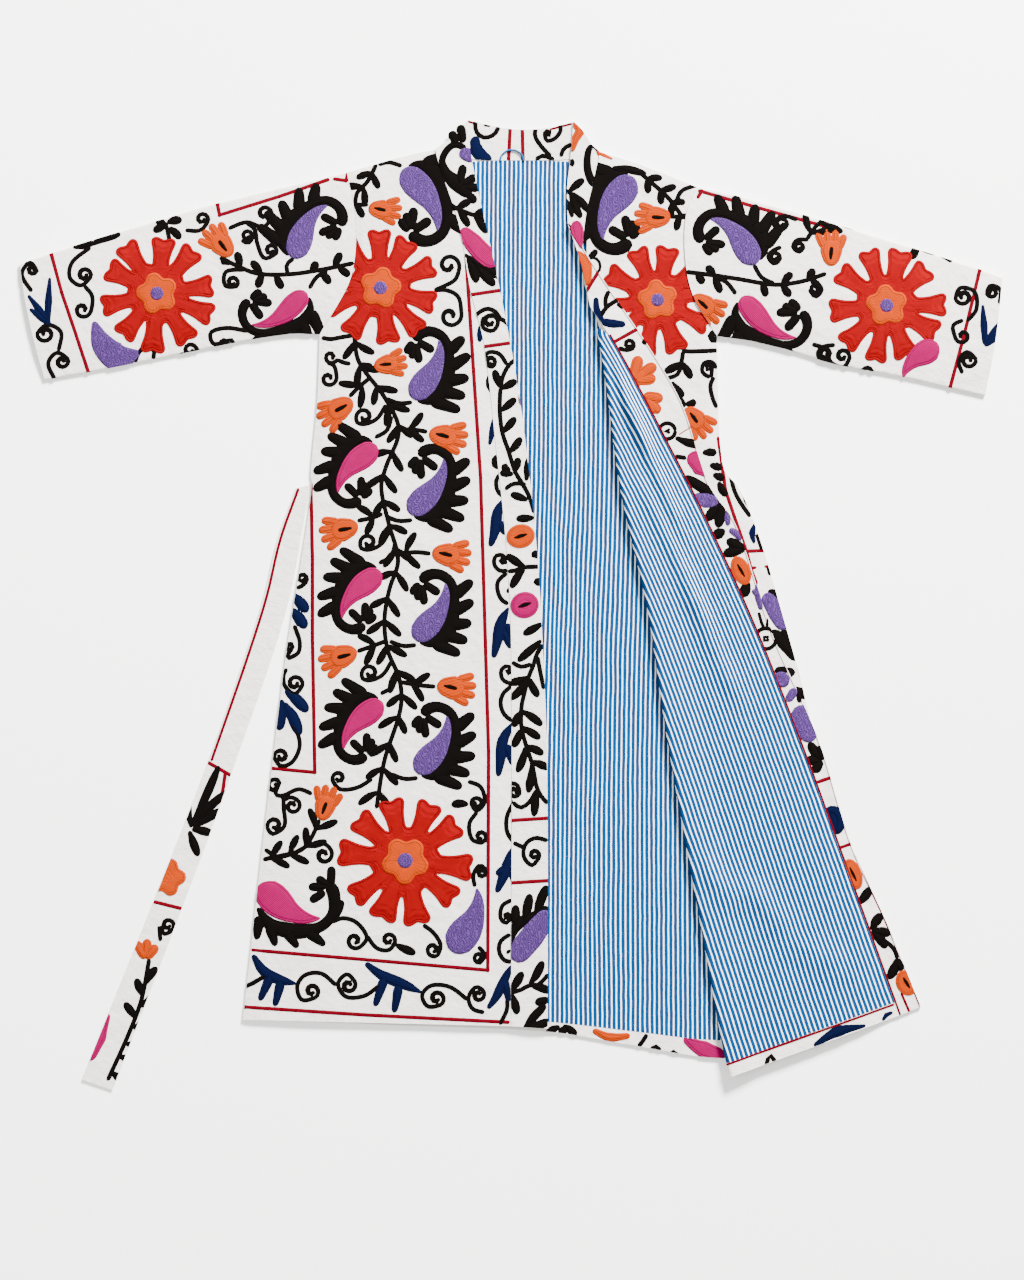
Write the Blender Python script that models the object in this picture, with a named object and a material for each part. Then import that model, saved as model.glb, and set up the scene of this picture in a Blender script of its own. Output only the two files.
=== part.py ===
"""An embroidered coat laid flat, front up, with its left front turned back.

The tables are in millimetres, the scene is in metres. X runs to the viewer's
right, Y towards the collar, Z up from the surface that the coat lies on.
Left and right in the names are the wearer's, so the left front is at +X.
"""
import math

import bmesh
import bpy
from mathutils import Vector

# Sizes of the cut, in millimetres
COAT_LENGTH = 1132.0
COLLAR_TOP = 606.0
HEM_LEVEL = COLLAR_TOP - COAT_LENGTH
SLEEVE_END = 614.0

# Cloth thicknesses and the levels that the layers lie at
SHELL = 1.8
LINING = 1.0
DOUBLED = 2.6
SEAM_GAP = 0.3
BACK_TOP = SHELL
LINING_BASE = BACK_TOP + SEAM_GAP
LINING_TOP = LINING_BASE + LINING
FRONT_EDGE = BACK_TOP + SEAM_GAP
FRONT_BASE = LINING_TOP + 0.4
EDGE_REACH = 10.0
LINING_INSET = 22.0

# Loft of the laid cloth above its sewn edges, and how far in it is reached
FRONT_LOFT = 1.0
LOFT_REACH = 90.0
SLEEVE_EDGE = 2.2
SLEEVE_LOFT = 1.8
SLEEVE_LOFT_REACH = 45.0

# The roll of the turned front: its inner radius and what it carries
ROLL_RADIUS_TOP = 1.2
ROLL_RADIUS_HEM = 1.9
ROLL_STEPS = 5
ROLL_INSET = 5.0
ROLL_UNDER = 14.0
ROLL_RAISE = 1.5
ROLL_RAISE_TOP = 400.0
ROLL_RAISE_REACH = 50.0
ROLL_RAISE_WIDTH = 24.0
FLAP_GAP = 1.3
FLAP_SETTLE = 45.0
FLAP_OVERHANG = 6.0
FLAP_FALL = 48.0

# Outlines: each row is x, y, from the top down or from left to right
SHOULDER_RIGHT = ((-205, 540), (-139, 559), (-95, 569))
NECK_CORNER_RIGHT = ((-95, 569), (-70, 588), (-54, COLLAR_TOP))
NECK_TOP = ((-54, COLLAR_TOP), (-20, 598), (11, 594), (46, 596), (78, 604))
NECK_SEAM = ((-95, 569), (-50, 557), (12, 555.5), (74, 557), (111, 566))
NECK_CORNER_LEFT = ((78, 604), (90, 592), (100, 576), (111, 566))
SHOULDER_LEFT = ((111, 566), (161, 550), (232, 522))
ARMHOLE_RIGHT = ((-205, 540), (-195, 490), (-194, 441), (-203, 400), (-239, 338))
ARMHOLE_LEFT = ((232, 522), (218, 485), (218, 425), (229, 382), (257, 336))
SIDE_RIGHT = ((-239, 338), (-242, 255), (-248, 190), (-250, 162), (-248.5, 151), (-258, 81),
              (-275, -21), (-286, -99), (-311, -306), (-335, -518))
SIDE_LEFT = ((257, 336), (259, 256), (265, 172), (286, 144), (309, 88), (334, 6), (368, -119),
             (405, -306), (424, -525))
HEM_RIGHT = ((-335, -518), (-164, -522), (0, HEM_LEVEL))
BAND_HEM_RIGHT = ((0.3, HEM_LEVEL), (46, -529))
HEM_BACK = ((-335, -518), (-164, -524), (46, -533), (146, -549), (261, -566), (350, -556), (424, -525))
HEM_FACING_TOP = ((-313, -500), (-164, -508), (46, -521), (146, -532), (261, -544), (350, -534),
                  (402, -507))
BAND_SEAM_RIGHT = ((-95, 569), (-90, 550), (-65, 474), (-51, 394), (-34, 326), (-20, 206), (-6, 70),
                   (0, -58), (0, HEM_LEVEL))
BAND_EDGE_RIGHT = ((-54, COLLAR_TOP), (-49, 556), (-14, 394), (11, 256), (30, 94), (38, -19), (45, -194),
                   (46, -529))
NECK_EDGE_LEFT = ((78, 604), (74, 556), (70, 519), (71, 475))
BAND_SEAM_LEFT = ((111, 566), (102, 524), (94, 488), (90, 445), (92, 400), (103, 360))
ROLL_START = ((71, 475), (86, 431), (99, 372))
ROLL_LINE = ((106, 344), (117, 281), (136, 145), (170, -6), (195, -169), (234, -386), (261, -535),
             (272, -589))
FACING_SEAM = ((122, 337), (148, 290), (194, 202), (240, 111), (304, -29), (368, -191), (410, -306),
               (485, -513))
FREE_EDGE = ((71, 475), (115, 406), (174, 319), (214, 249), (246, 151), (281, 99), (326, -36),
             (384, -169), (425, -300), (468, -394), (512, -502))
HEM_FACING_SHARE = 0.019
FREE_SHARE_AT_SEAM = 0.13
BAND_TURN_LEVEL = 360.0
NECK_STEPS = 6
HEM_STEPS = 10
ROUND_STEPS = 4
TURN_STEPS = 4
FLAP_STEPS = 6
FRONT_STEPS = 7

# Rows of the body panels: from the shoulder to the underarm and on to the hem
BODY_MARKS = (0.0, 0.2, 1.0)
ARMHOLE_ROWS = 8
SIDE_ROWS = 18

# Sleeve outlines, from the cuff to the armhole or from the top down
SLEEVE_TOP_RIGHT = ((-SLEEVE_END, 426), (-545, 449), (-449, 478), (-370, 501), (-205, 540))
SLEEVE_UNDER_RIGHT = ((-582, 281), (-526, 291), (-460, 304), (-286, 338), (-239, 338))
CUFF_RIGHT = ((-SLEEVE_END, 426), (-604, 366), (-591, 312), (-582, 281))
SLEEVE_TOP_LEFT = ((232, 522), (279, 512), (404, 476), (584, 420), (SLEEVE_END, 409))
SLEEVE_UNDER_LEFT = ((257, 336), (320, 326), (404, 301), (488, 285), (592, 261))
CUFF_LEFT = ((SLEEVE_END, 409), (605, 330), (592, 261))

# Belt: each row is one section, from the side seam to the free end
# left x, left y, right x, right y
BELT = (
    (-269, 146, -251.5, 150),
    (-292, 81, -263, 81),
    (-309, 10, -278, 5),
    (-334, -69, -300, -69),
    (-378, -195, -349, -209),
    (-416, -294, -380, -296),
    (-536, -593, -498, -606),
)

# Largest folds: each row is a soft ridge
# start x, start y, finish x, finish y, width, rise
RIGHT_FRONT_FOLDS = (
    (-180, 430, -120, 250, 26, 0.5),
    (-215, 150, -120, 60, 24, 0.5),
    (-230, -60, -90, -180, 30, 0.6),
    (-250, -330, -60, -420, 34, 0.5),
)
LEFT_FRONT_FOLDS = (
    (205, 400, 240, 260, 22, 0.7),
    (225, 330, 255, 200, 18, 0.6),
)
SLEEVE_FOLDS = (
    (-250, 370, -330, 450, 24, 1.0),
    (-470, 330, -540, 420, 26, 0.8),
    (262, 360, 340, 440, 24, 1.0),
    (470, 310, 540, 400, 26, 0.8),
)
FLAP_FOLDS = (
    (112, 330, 176, 190, 10, 2.2),
    (128, 290, 220, 90, 13, 2.6),
    (160, 230, 262, 40, 12, 1.8),
    (214, -300, 300, -392, 22, 2.2),
    (280, -330, 352, -420, 20, 1.8),
    (330, -410, 440, -470, 22, 1.6),
)

# Hanger loop in the back neck seam
LOOP_CENTRE = (1.0, 555.0)
LOOP_HALF_WIDTH = 14.5
LOOP_RISE = 13.5
LOOP_RADIUS = 1.1
LOOP_POINTS = 9

COTTON = (0.86, 0.83, 0.78)
STRIPED = (0.36, 0.57, 0.76)
LOOP_BLUE = (0.03, 0.26, 0.55)

MM = 0.001
DOWN = Vector((0.0, 0.0, -1.0))
UP = Vector((0.0, 0.0, 1.0))


def smooth(value):
    """Ease a value from 0 to 1."""
    value = min(max(value, 0.0), 1.0)
    return value * value * (3.0 - 2.0 * value)


class Line:
    """A smooth line through the rows of one or more outlines, with corners where they meet."""

    STEPS = 10

    def __init__(self, *outlines, marks=None):
        self.points = []
        ends = []
        for outline in outlines:
            self.points += self.curve([Vector(row) for row in outline])
            ends.append(len(self.points) - 1)
        self.lengths = [0.0]
        for a, b in zip(self.points, self.points[1:]):
            self.lengths.append(self.lengths[-1] + (b - a).length)
        self.corners = [0.0] + [self.lengths[end] / self.lengths[-1] for end in ends]
        self.marks = marks or self.corners

    def curve(self, rows):
        """Points of a curve that passes through every row."""
        ends = [2.0 * rows[0] - rows[1]] + rows + [2.0 * rows[-1] - rows[-2]]
        points = []
        for before, a, b, after in zip(ends, ends[1:], ends[2:], ends[3:]):
            span = (b - a).length
            start = (b - before) * span / max((a - before).length + span, 1e-6)
            finish = (after - a) * span / max((after - b).length + span, 1e-6)
            for step in range(self.STEPS):
                t = step / self.STEPS
                points.append((2 * t**3 - 3 * t**2 + 1) * a + (t**3 - 2 * t**2 + t) * start
                              + (3 * t**2 - 2 * t**3) * b + (t**3 - t**2) * finish)
        return points + [rows[-1]]

    def at(self, share):
        """The point at a share of the line, whose corners lie at its marks."""
        goal = self.lengths[-1]
        for i in range(1, len(self.marks)):
            if share <= self.marks[i]:
                part = (share - self.marks[i - 1]) / (self.marks[i] - self.marks[i - 1])
                goal *= self.corners[i - 1] + (self.corners[i] - self.corners[i - 1]) * part
                break
        for i in range(1, len(self.points)):
            if self.lengths[i] >= goal - 1e-9:
                span = self.lengths[i] - self.lengths[i - 1]
                part = (goal - self.lengths[i - 1]) / span if span > 1e-9 else 0.0
                return self.points[i - 1].lerp(self.points[i], min(max(part, 0.0), 1.0))
        return self.points[-1].copy()

    def x_at(self, y):
        """The line's x at a height, for a line that runs downwards."""
        if y >= self.points[0].y:
            return self.points[0].x
        for a, b in zip(self.points, self.points[1:]):
            if a.y >= y >= b.y:
                part = (a.y - y) / (a.y - b.y) if a.y > b.y else 0.0
                return a.x + (b.x - a.x) * part
        return self.points[-1].x

    def y_at(self, x):
        """The line's y at a place, for a line that runs to the right."""
        if x <= self.points[0].x:
            return self.points[0].y
        for a, b in zip(self.points, self.points[1:]):
            if a.x <= x <= b.x:
                part = (x - a.x) / (b.x - a.x) if b.x > a.x else 0.0
                return a.y + (b.y - a.y) * part
        return self.points[-1].y


BODY_RIGHT = Line(ARMHOLE_RIGHT, SIDE_RIGHT, marks=BODY_MARKS)
BODY_LEFT = Line(ARMHOLE_LEFT, SIDE_LEFT, marks=BODY_MARKS)
BODY_TOP = Line(SHOULDER_RIGHT, NECK_SEAM, SHOULDER_LEFT)
BAND_SEAM = Line(BAND_SEAM_RIGHT)
LEFT_INNER = Line(BAND_SEAM_LEFT, ROLL_LINE)
ROLL = Line(ROLL_LINE)
FLAP_SEAM = Line(FACING_SEAM)
SIDE_OF_LEFT = Line(SIDE_LEFT)


def fold_rise(folds, x, y):
    """Height that the soft ridges of a table add at a place."""
    rise = 0.0
    for x0, y0, x1, y1, width, height in folds:
        run_x = x1 - x0
        run_y = y1 - y0
        length = math.hypot(run_x, run_y)
        along = ((x - x0) * run_x + (y - y0) * run_y) / length
        across = ((x - x0) * run_y - (y - y0) * run_x) / length
        ends = smooth(along / (0.3 * length)) * smooth((length - along) / (0.3 * length))
        rise += height * ends * math.exp(-(across / width) ** 2)
    return rise


def edge_distance(x, y):
    """Distance from the sewn edges of the body: shoulders, armholes and side seams."""
    inward = min(x - BODY_RIGHT.x_at(y), BODY_LEFT.x_at(y) - x)
    return min(inward, BODY_TOP.y_at(x) - y)


def front_base(x, y):
    """Underside of a front, which comes down to the back at the sewn edges."""
    inside = edge_distance(x, y)
    return (FRONT_EDGE + (FRONT_BASE - FRONT_EDGE) * smooth(inside / EDGE_REACH)
            + FRONT_LOFT * smooth(inside / LOFT_REACH))


def band_base(x, y):
    """Underside of a front band, which lies clear of the neck band and the lining."""
    return max(FRONT_BASE, front_base(x, y))


def right_front_base(x, y):
    return front_base(x, y) + fold_rise(RIGHT_FRONT_FOLDS, x, y)


def left_front_base(x, y):
    """Underside of the left front, raised beside the roll for the lining that wraps round it."""
    from_roll = x - LEFT_INNER.x_at(y)
    raised = smooth((ROLL_RAISE_TOP - y) / ROLL_RAISE_REACH)
    raised *= 1.0 - smooth((from_roll - ROLL_RAISE_WIDTH) / (0.6 * ROLL_RAISE_REACH))
    return front_base(x, y) + ROLL_RAISE * raised + fold_rise(LEFT_FRONT_FOLDS, x, y)


def flap_base(x, y, gap):
    """Underside of the turned front, which lies on the left front and falls to the floor beside it."""
    side = BODY_LEFT.x_at(y)
    fall = smooth((x - side - FLAP_OVERHANG) / FLAP_FALL)
    resting = left_front_base(min(x, side), y) + SHELL + gap
    from_roll = x - LEFT_INNER.x_at(y)
    ridges = fold_rise(FLAP_FOLDS, x, y) * smooth((from_roll - 1.6 * ROLL_INSET) / (3.0 * ROLL_INSET))
    return resting * (1.0 - fall) + SEAM_GAP * fall + ridges


def facing_base(x, y):
    """Underside of the turned band, which lies on the face-up band near the neck."""
    band_top = FRONT_BASE + FRONT_LOFT + DOUBLED + 0.4
    resting = flap_base(x, y, FLAP_GAP)
    return max(resting, band_top) if y > BAND_TURN_LEVEL else resting


def patch(left, right, top, bottom):
    """Points between four border lines: left and right run down, top and bottom run right."""
    corners = (left.at(0.0), right.at(0.0), left.at(1.0), right.at(1.0))

    def point(u, v):
        ruled = left.at(v).lerp(right.at(v), u) + top.at(u).lerp(bottom.at(u), v)
        return ruled - corners[0].lerp(corners[1], u).lerp(corners[2].lerp(corners[3], u), v)

    return point


def strip(left, right):
    """Points on straight rows between two lines that run down."""
    return lambda u, v: left.at(v).lerp(right.at(v), u)


def straight(start, finish):
    return Line((tuple(start), tuple(finish)))


def moved(outline, step_x, step_y=0.0):
    """An outline moved aside, to leave the gap of a seam."""
    return tuple((x + step_x, y + step_y) for x, y in outline)


def spread(count, first=0.0, last=0.0):
    """Even shares from 0 to 1, with a narrow first or last step where one is given."""
    inner = count - bool(first) - bool(last)
    shares = [first + (1.0 - first - last) * i / inner for i in range(inner + 1)]
    return ([0.0] if first else []) + shares + ([1.0] if last else [])


def spread_between(corners, counts, first=0.0):
    """Shares that divide each stretch between two corners evenly, into its own count of steps."""
    shares = [0.0, first] if first else [0.0]
    for start, finish, count in zip(corners, corners[1:], counts):
        shares += [start + (finish - start) * (i + 1) / count for i in range(count)]
    return shares


def new_material(name, colour):
    material = bpy.data.materials.new(name)
    material.use_nodes = True
    shader = material.node_tree.nodes["Principled BSDF"]
    shader.inputs["Base Color"].default_value = (*colour, 1.0)
    shader.inputs["Roughness"].default_value = 0.9
    shader.inputs["Metallic"].default_value = 0.0
    return material


def add_piece(name, data, colour):
    """Link a finished mesh or curve as a named object with its own material."""
    piece = bpy.data.objects.new(name, data)
    data.materials.append(new_material(name, colour))
    coat.objects.link(piece)
    return piece


def add_wall(name, mesh, colour):
    """Thicken an open surface by its stored offsets, and finish it in metres as a piece."""
    offset = mesh.verts.layers.float_vector["offset"]
    made = bmesh.ops.extrude_face_region(mesh, geom=mesh.faces[:])["geom"]
    for item in made:
        if isinstance(item, bmesh.types.BMVert):
            item.co += item[offset]
    bmesh.ops.recalc_face_normals(mesh, faces=mesh.faces[:])
    bmesh.ops.scale(mesh, vec=(MM, MM, MM), verts=mesh.verts[:])
    data = bpy.data.meshes.new(name)
    mesh.to_mesh(data)
    mesh.free()
    data.shade_smooth()
    data.set_sharp_from_angle(angle=math.radians(50.0))
    return add_piece(name, data, colour)


def lay_grid(mesh, columns, rows, place):
    """Add a grid to a bmesh, each of its points and offsets given by its column and row."""
    offset = mesh.verts.layers.float_vector["offset"]
    grid = bmesh.ops.create_grid(mesh, x_segments=columns, y_segments=rows, size=0.5)
    for vertex in grid["verts"]:
        column = round((vertex.co.x + 0.5) * columns)
        row = round((0.5 - vertex.co.y) * rows)
        vertex.co, vertex[offset] = place(column, row)


def new_wall():
    mesh = bmesh.new()
    mesh.verts.layers.float_vector.new("offset")
    return mesh


def add_cloth(name, outline, columns, rows, base, thickness, colour):
    """A panel of cloth: a grid laid in its outline at its underside, thickened upwards."""
    mesh = new_wall()

    def place(column, row):
        x, y = outline(columns[column], rows[row])
        return Vector((x, y, base(x, y))), UP * thickness

    lay_grid(mesh, len(columns) - 1, len(rows) - 1, place)
    return add_wall(name, mesh, colour)


def level(height):
    """A flat underside at one height."""
    return lambda x, y: height


def add_back():
    outline = patch(BODY_RIGHT, BODY_LEFT, BODY_TOP, Line(HEM_BACK))
    columns = spread_between(BODY_TOP.corners, (2, NECK_STEPS, 2))
    rows = spread_between(BODY_MARKS, (ARMHOLE_ROWS, SIDE_ROWS))
    add_cloth("back", outline, columns, rows, level(0.0), SHELL, COTTON)


def add_back_lining():
    """The striped lining, set in from the sewn edges and ending at the hem facing."""
    rise = 18.0 + SEAM_GAP
    right = Line(moved(ARMHOLE_RIGHT, LINING_INSET, -rise), moved(SIDE_RIGHT, LINING_INSET, rise))
    left = Line(moved(ARMHOLE_LEFT, -LINING_INSET, -rise), moved(SIDE_LEFT, -LINING_INSET, rise))
    top = Line((tuple(right.at(0.0)), (-100, 545), (-56, 553.5), (80, 553.5), (114, 545), tuple(left.at(0.0))))
    outline = patch(right, left, top, Line(moved(HEM_FACING_TOP, 0.0, SEAM_GAP)))
    add_cloth("back_lining", outline, spread(HEM_STEPS), spread(16), level(LINING_BASE), LINING, STRIPED)


def add_back_hem_facing():
    right = straight(HEM_FACING_TOP[0], (-313, HEM_BACK[0][1]))
    left = straight(HEM_FACING_TOP[-1], (402, -535))
    bottom = Line((tuple(right.at(1.0)),) + HEM_BACK[1:-1] + (tuple(left.at(1.0)),))
    outline = patch(right, left, Line(HEM_FACING_TOP), bottom)
    add_cloth("hem_facing_back", outline, spread(HEM_STEPS), spread(1), level(LINING_BASE), LINING, COTTON)


def add_neck_band():
    outline = patch(Line(NECK_CORNER_RIGHT[::-1]), Line(NECK_CORNER_LEFT), Line(NECK_TOP),
                    Line(moved(NECK_SEAM, 0.0, SEAM_GAP)))
    add_cloth("neck_band", outline, spread(NECK_STEPS), spread(3), level(0.0), DOUBLED, COTTON)


def add_right_front():
    outline = patch(BODY_RIGHT, BAND_SEAM, Line(SHOULDER_RIGHT), Line(HEM_RIGHT))
    add_cloth("front_right", outline, spread(9, first=0.05), FRONT_ROWS, right_front_base, SHELL, COTTON)


def add_right_band():
    seam = Line(moved(BAND_SEAM_RIGHT, SEAM_GAP))
    corner = Line(moved(NECK_CORNER_RIGHT[:1], SEAM_GAP) + NECK_CORNER_RIGHT[1:])
    outline = patch(seam, Line(BAND_EDGE_RIGHT), corner, Line(BAND_HEM_RIGHT))
    add_cloth("band_right", outline, spread(2), FRONT_ROWS, band_base, DOUBLED, COTTON)


def add_left_band():
    """The face-up stretch of the left band, from the shoulder to where it turns over."""
    tip = ((92 - SEAM_GAP, 400), (101, 372))
    outline = patch(Line(NECK_EDGE_LEFT, ROLL_START), Line(moved(BAND_SEAM_LEFT[:-1], -SEAM_GAP), tip),
                    Line(NECK_CORNER_LEFT[:-1] + moved(NECK_CORNER_LEFT[-1:], -SEAM_GAP)),
                    straight(ROLL_START[-1], tip[-1]))
    add_cloth("band_left", outline, spread(2), spread(9), band_base, DOUBLED, COTTON)


def roll_section(share, steps):
    """One row of the rolled front: from its face-up edge round the roll to the facing seam."""
    fold = ROLL.at(share)
    ahead = ROLL.at(min(share + 0.01, 1.0)) - ROLL.at(max(share - 0.01, 0.0))
    outward = Vector((ahead.y, -ahead.x)).normalized()
    if outward.x > 0.0:
        outward.negate()
    centre = fold - outward * ROLL_INSET
    radius = ROLL_RADIUS_TOP + (ROLL_RADIUS_HEM - ROLL_RADIUS_TOP) * smooth(share * 3.0)
    top = left_front_base(centre.x, centre.y) + SHELL
    section = []
    for step in range(ROLL_STEPS + 1):
        angle = math.pi * step / ROLL_STEPS
        radial = Vector((*(outward * math.sin(angle)), -math.cos(angle)))
        middle = Vector((centre.x, centre.y, top + radius))
        section.append((middle + radial * radius, radial))
    seam = FLAP_SEAM.at(share)
    for step in range(1, steps + 1):
        x, y = centre.lerp(seam, step / steps)
        from_roll = (Vector((x, y)) - centre).length
        settle = smooth(from_roll / FLAP_SETTLE)
        gap = 2.0 * radius * (1.0 - settle) + FLAP_GAP * settle
        section.append((Vector((x, y, flap_base(x, y, gap))), UP))
    return section


FRONT_ROWS = spread_between(BODY_MARKS, (ARMHOLE_ROWS, SIDE_ROWS), first=0.012)
ROLL_ROWS = spread_between((0.0, 1.0), (SIDE_ROWS,))[:-1] + [1.0 - HEM_FACING_SHARE, 1.0]


def add_left_front():
    """The left front: face up from the side seam to the roll, then turned over to the facing seam."""
    sections = [roll_section(share, FLAP_STEPS) for share in ROLL_ROWS]
    upper = patch(Line(BAND_SEAM_LEFT), Line(ARMHOLE_LEFT), Line(SHOULDER_LEFT),
                  straight(sections[0][0][0].xy, ARMHOLE_LEFT[-1]))
    upper_rows = spread_between((0.0, 1.0), (ARMHOLE_ROWS,), first=0.05)
    across = spread(FRONT_STEPS, last=0.07)
    mesh = new_wall()

    def face_up(x, y):
        return Vector((x, y, left_front_base(x, y) + SHELL)), DOWN * SHELL

    def place_upper(column, row):
        return face_up(*upper(across[column], upper_rows[row]))

    def place_lower(column, row):
        inner = sections[row][0][0].xy
        return face_up(*inner.lerp(SIDE_OF_LEFT.at(ROLL_ROWS[row]), across[column]))

    def place_turned(column, row):
        point, radial = sections[row][column]
        return point, radial * SHELL

    lay_grid(mesh, FRONT_STEPS, len(upper_rows) - 1, place_upper)
    lay_grid(mesh, FRONT_STEPS, len(ROLL_ROWS) - 1, place_lower)
    lay_grid(mesh, ROLL_STEPS + FLAP_STEPS, len(ROLL_ROWS) - 1, place_turned)
    bmesh.ops.remove_doubles(mesh, verts=mesh.verts[:], dist=0.01)
    add_wall("front_left", mesh, COTTON)


def add_rolled_layer(name, rows, under, colour):
    """A layer on the outside of the rolled front, made from its points moved out."""
    mesh = new_wall()
    sections = []
    for share in rows:
        section = roll_section(share, FLAP_STEPS)
        if under:
            start = section[0][0].copy()
            start.x += ROLL_UNDER
            section.insert(0, (start, section[0][1]))
        sections.append(section)

    def place(column, row):
        point, radial = sections[row][column]
        return point + radial * (SHELL + SEAM_GAP), radial * LINING

    lay_grid(mesh, len(sections[0]) - 1, len(rows) - 1, place)
    add_wall(name, mesh, colour)


def add_left_facing():
    """The band on the turned front, from where it turns over to the hem."""
    start = Line(ROLL_START)
    seam = Line(moved(FACING_SEAM, SEAM_GAP))
    free = Line(FREE_EDGE)
    rows = []
    for share in spread(TURN_STEPS):
        rows.append((start.at(share), free.at(share * FREE_SHARE_AT_SEAM * 0.9)))
    for share in ROLL_ROWS:
        rows.append((seam.at(share), free.at(FREE_SHARE_AT_SEAM + (1.0 - FREE_SHARE_AT_SEAM) * share)))
    add_cloth("facing_left", lambda u, row: rows[row][0].lerp(rows[row][1], u), spread(2),
              range(len(rows)), facing_base, DOUBLED + SEAM_GAP, COTTON)


def add_sleeve(name, outline):
    """A sleeve as a flat tube, open at the cuff and at the armhole."""
    along = spread(12)
    across = spread(8)[1:-1]
    mesh = new_wall()

    def edge_points(u, v, inner_v, turn):
        """The rounded fold along the top or the underarm of the tube."""
        edge = outline(u, v)
        inward = (outline(u, inner_v) - edge).normalized()
        points = []
        for step in range(ROUND_STEPS + 1):
            angle = math.pi * step / ROUND_STEPS
            side = -inward * math.sin(angle)
            radial = Vector((side.x, side.y, -turn * math.cos(angle)))
            middle = Vector((*(edge + inward * SLEEVE_EDGE), SLEEVE_EDGE))
            points.append((middle + radial * SLEEVE_EDGE, -radial * SHELL))
        return points

    def lofted(u, v):
        place = outline(u, v)
        reach = min((place - outline(u, 0.0)).length, (place - outline(u, 1.0)).length)
        height = 2.0 * SLEEVE_EDGE + SLEEVE_LOFT * smooth(reach / SLEEVE_LOFT_REACH)
        height += fold_rise(SLEEVE_FOLDS, *place)
        return Vector((*place, height)), DOWN * SHELL

    def ring(u):
        points = [(Vector((*outline(u, v), 0.0)), UP * SHELL) for v in across]
        points += edge_points(u, 1.0, 0.9, 1.0)
        points += [lofted(u, v) for v in reversed(across)]
        points += edge_points(u, 0.0, 0.1, -1.0)
        return points + points[:1]

    rings = [ring(u) for u in along]
    lay_grid(mesh, len(rings[0]) - 1, len(along) - 1, lambda column, row: rings[row][column])
    bmesh.ops.remove_doubles(mesh, verts=mesh.verts[:], dist=0.01)
    add_wall(name, mesh, COTTON)


def add_sleeves():
    add_sleeve("sleeve_right", patch(Line(CUFF_RIGHT), Line(moved(ARMHOLE_RIGHT, -SEAM_GAP)),
                                     Line(SLEEVE_TOP_RIGHT[:-1] + moved(ARMHOLE_RIGHT[:1], -SEAM_GAP)),
                                     Line(SLEEVE_UNDER_RIGHT[:-1] + moved(ARMHOLE_RIGHT[-1:], -SEAM_GAP))))
    add_sleeve("sleeve_left", patch(Line(moved(ARMHOLE_LEFT, SEAM_GAP)), Line(CUFF_LEFT),
                                    Line(moved(ARMHOLE_LEFT[:1], SEAM_GAP) + SLEEVE_TOP_LEFT[1:]),
                                    Line(moved(ARMHOLE_LEFT[-1:], SEAM_GAP) + SLEEVE_UNDER_LEFT[1:])))


def add_belt():
    left = Line(tuple(row[:2] for row in BELT))
    right = Line(tuple(row[2:] for row in BELT))
    add_cloth("belt", strip(left, right), spread(2), spread(20), level(0.0), DOUBLED, COTTON)


def add_hanger_loop():
    curve = bpy.data.curves.new("hanger_loop", "CURVE")
    curve.dimensions = "3D"
    curve.bevel_depth = LOOP_RADIUS * MM
    curve.bevel_resolution = 2
    curve.use_fill_caps = True
    route = curve.splines.new("POLY")
    route.points.add(LOOP_POINTS - 1)
    height = DOUBLED + SEAM_GAP + LOOP_RADIUS + 0.2
    for i, point in enumerate(route.points):
        angle = math.pi * i / (LOOP_POINTS - 1)
        x = LOOP_CENTRE[0] - LOOP_HALF_WIDTH * math.cos(angle)
        y = LOOP_CENTRE[1] + LOOP_RISE * math.sin(angle)
        point.co = (x * MM, y * MM, height * MM, 1.0)
    add_piece("hanger_loop", curve, LOOP_BLUE)


def main():
    add_back()
    add_back_lining()
    add_back_hem_facing()
    add_neck_band()
    add_right_front()
    add_right_band()
    add_left_front()
    add_rolled_layer("lining_front_left", ROLL_ROWS[:-1], True, STRIPED)
    add_rolled_layer("hem_facing_left", (ROLL_ROWS[-2] + SEAM_GAP / 950.0, 1.0), False, COTTON)
    add_left_band()
    add_left_facing()
    add_sleeves()
    add_belt()
    add_hanger_loop()


for existing in list(bpy.data.objects):
    bpy.data.objects.remove(existing, do_unlink=True)
coat = bpy.data.collections.new("embroidered_coat")
bpy.context.scene.collection.children.link(coat)
main()
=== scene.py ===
"""Looks of an embroidered coat laid flat, front up, with its left front turned back.

Sizes and tables are in millimetres, the scene is in metres. X runs to the viewer's
right, Y towards the collar, Z up from the surface that the coat lies on.
Left and right in the names are the wearer's, so the left front is at +X.
"""
import math

import bmesh
import bpy
import numpy as np
from mathutils import Matrix


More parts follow.
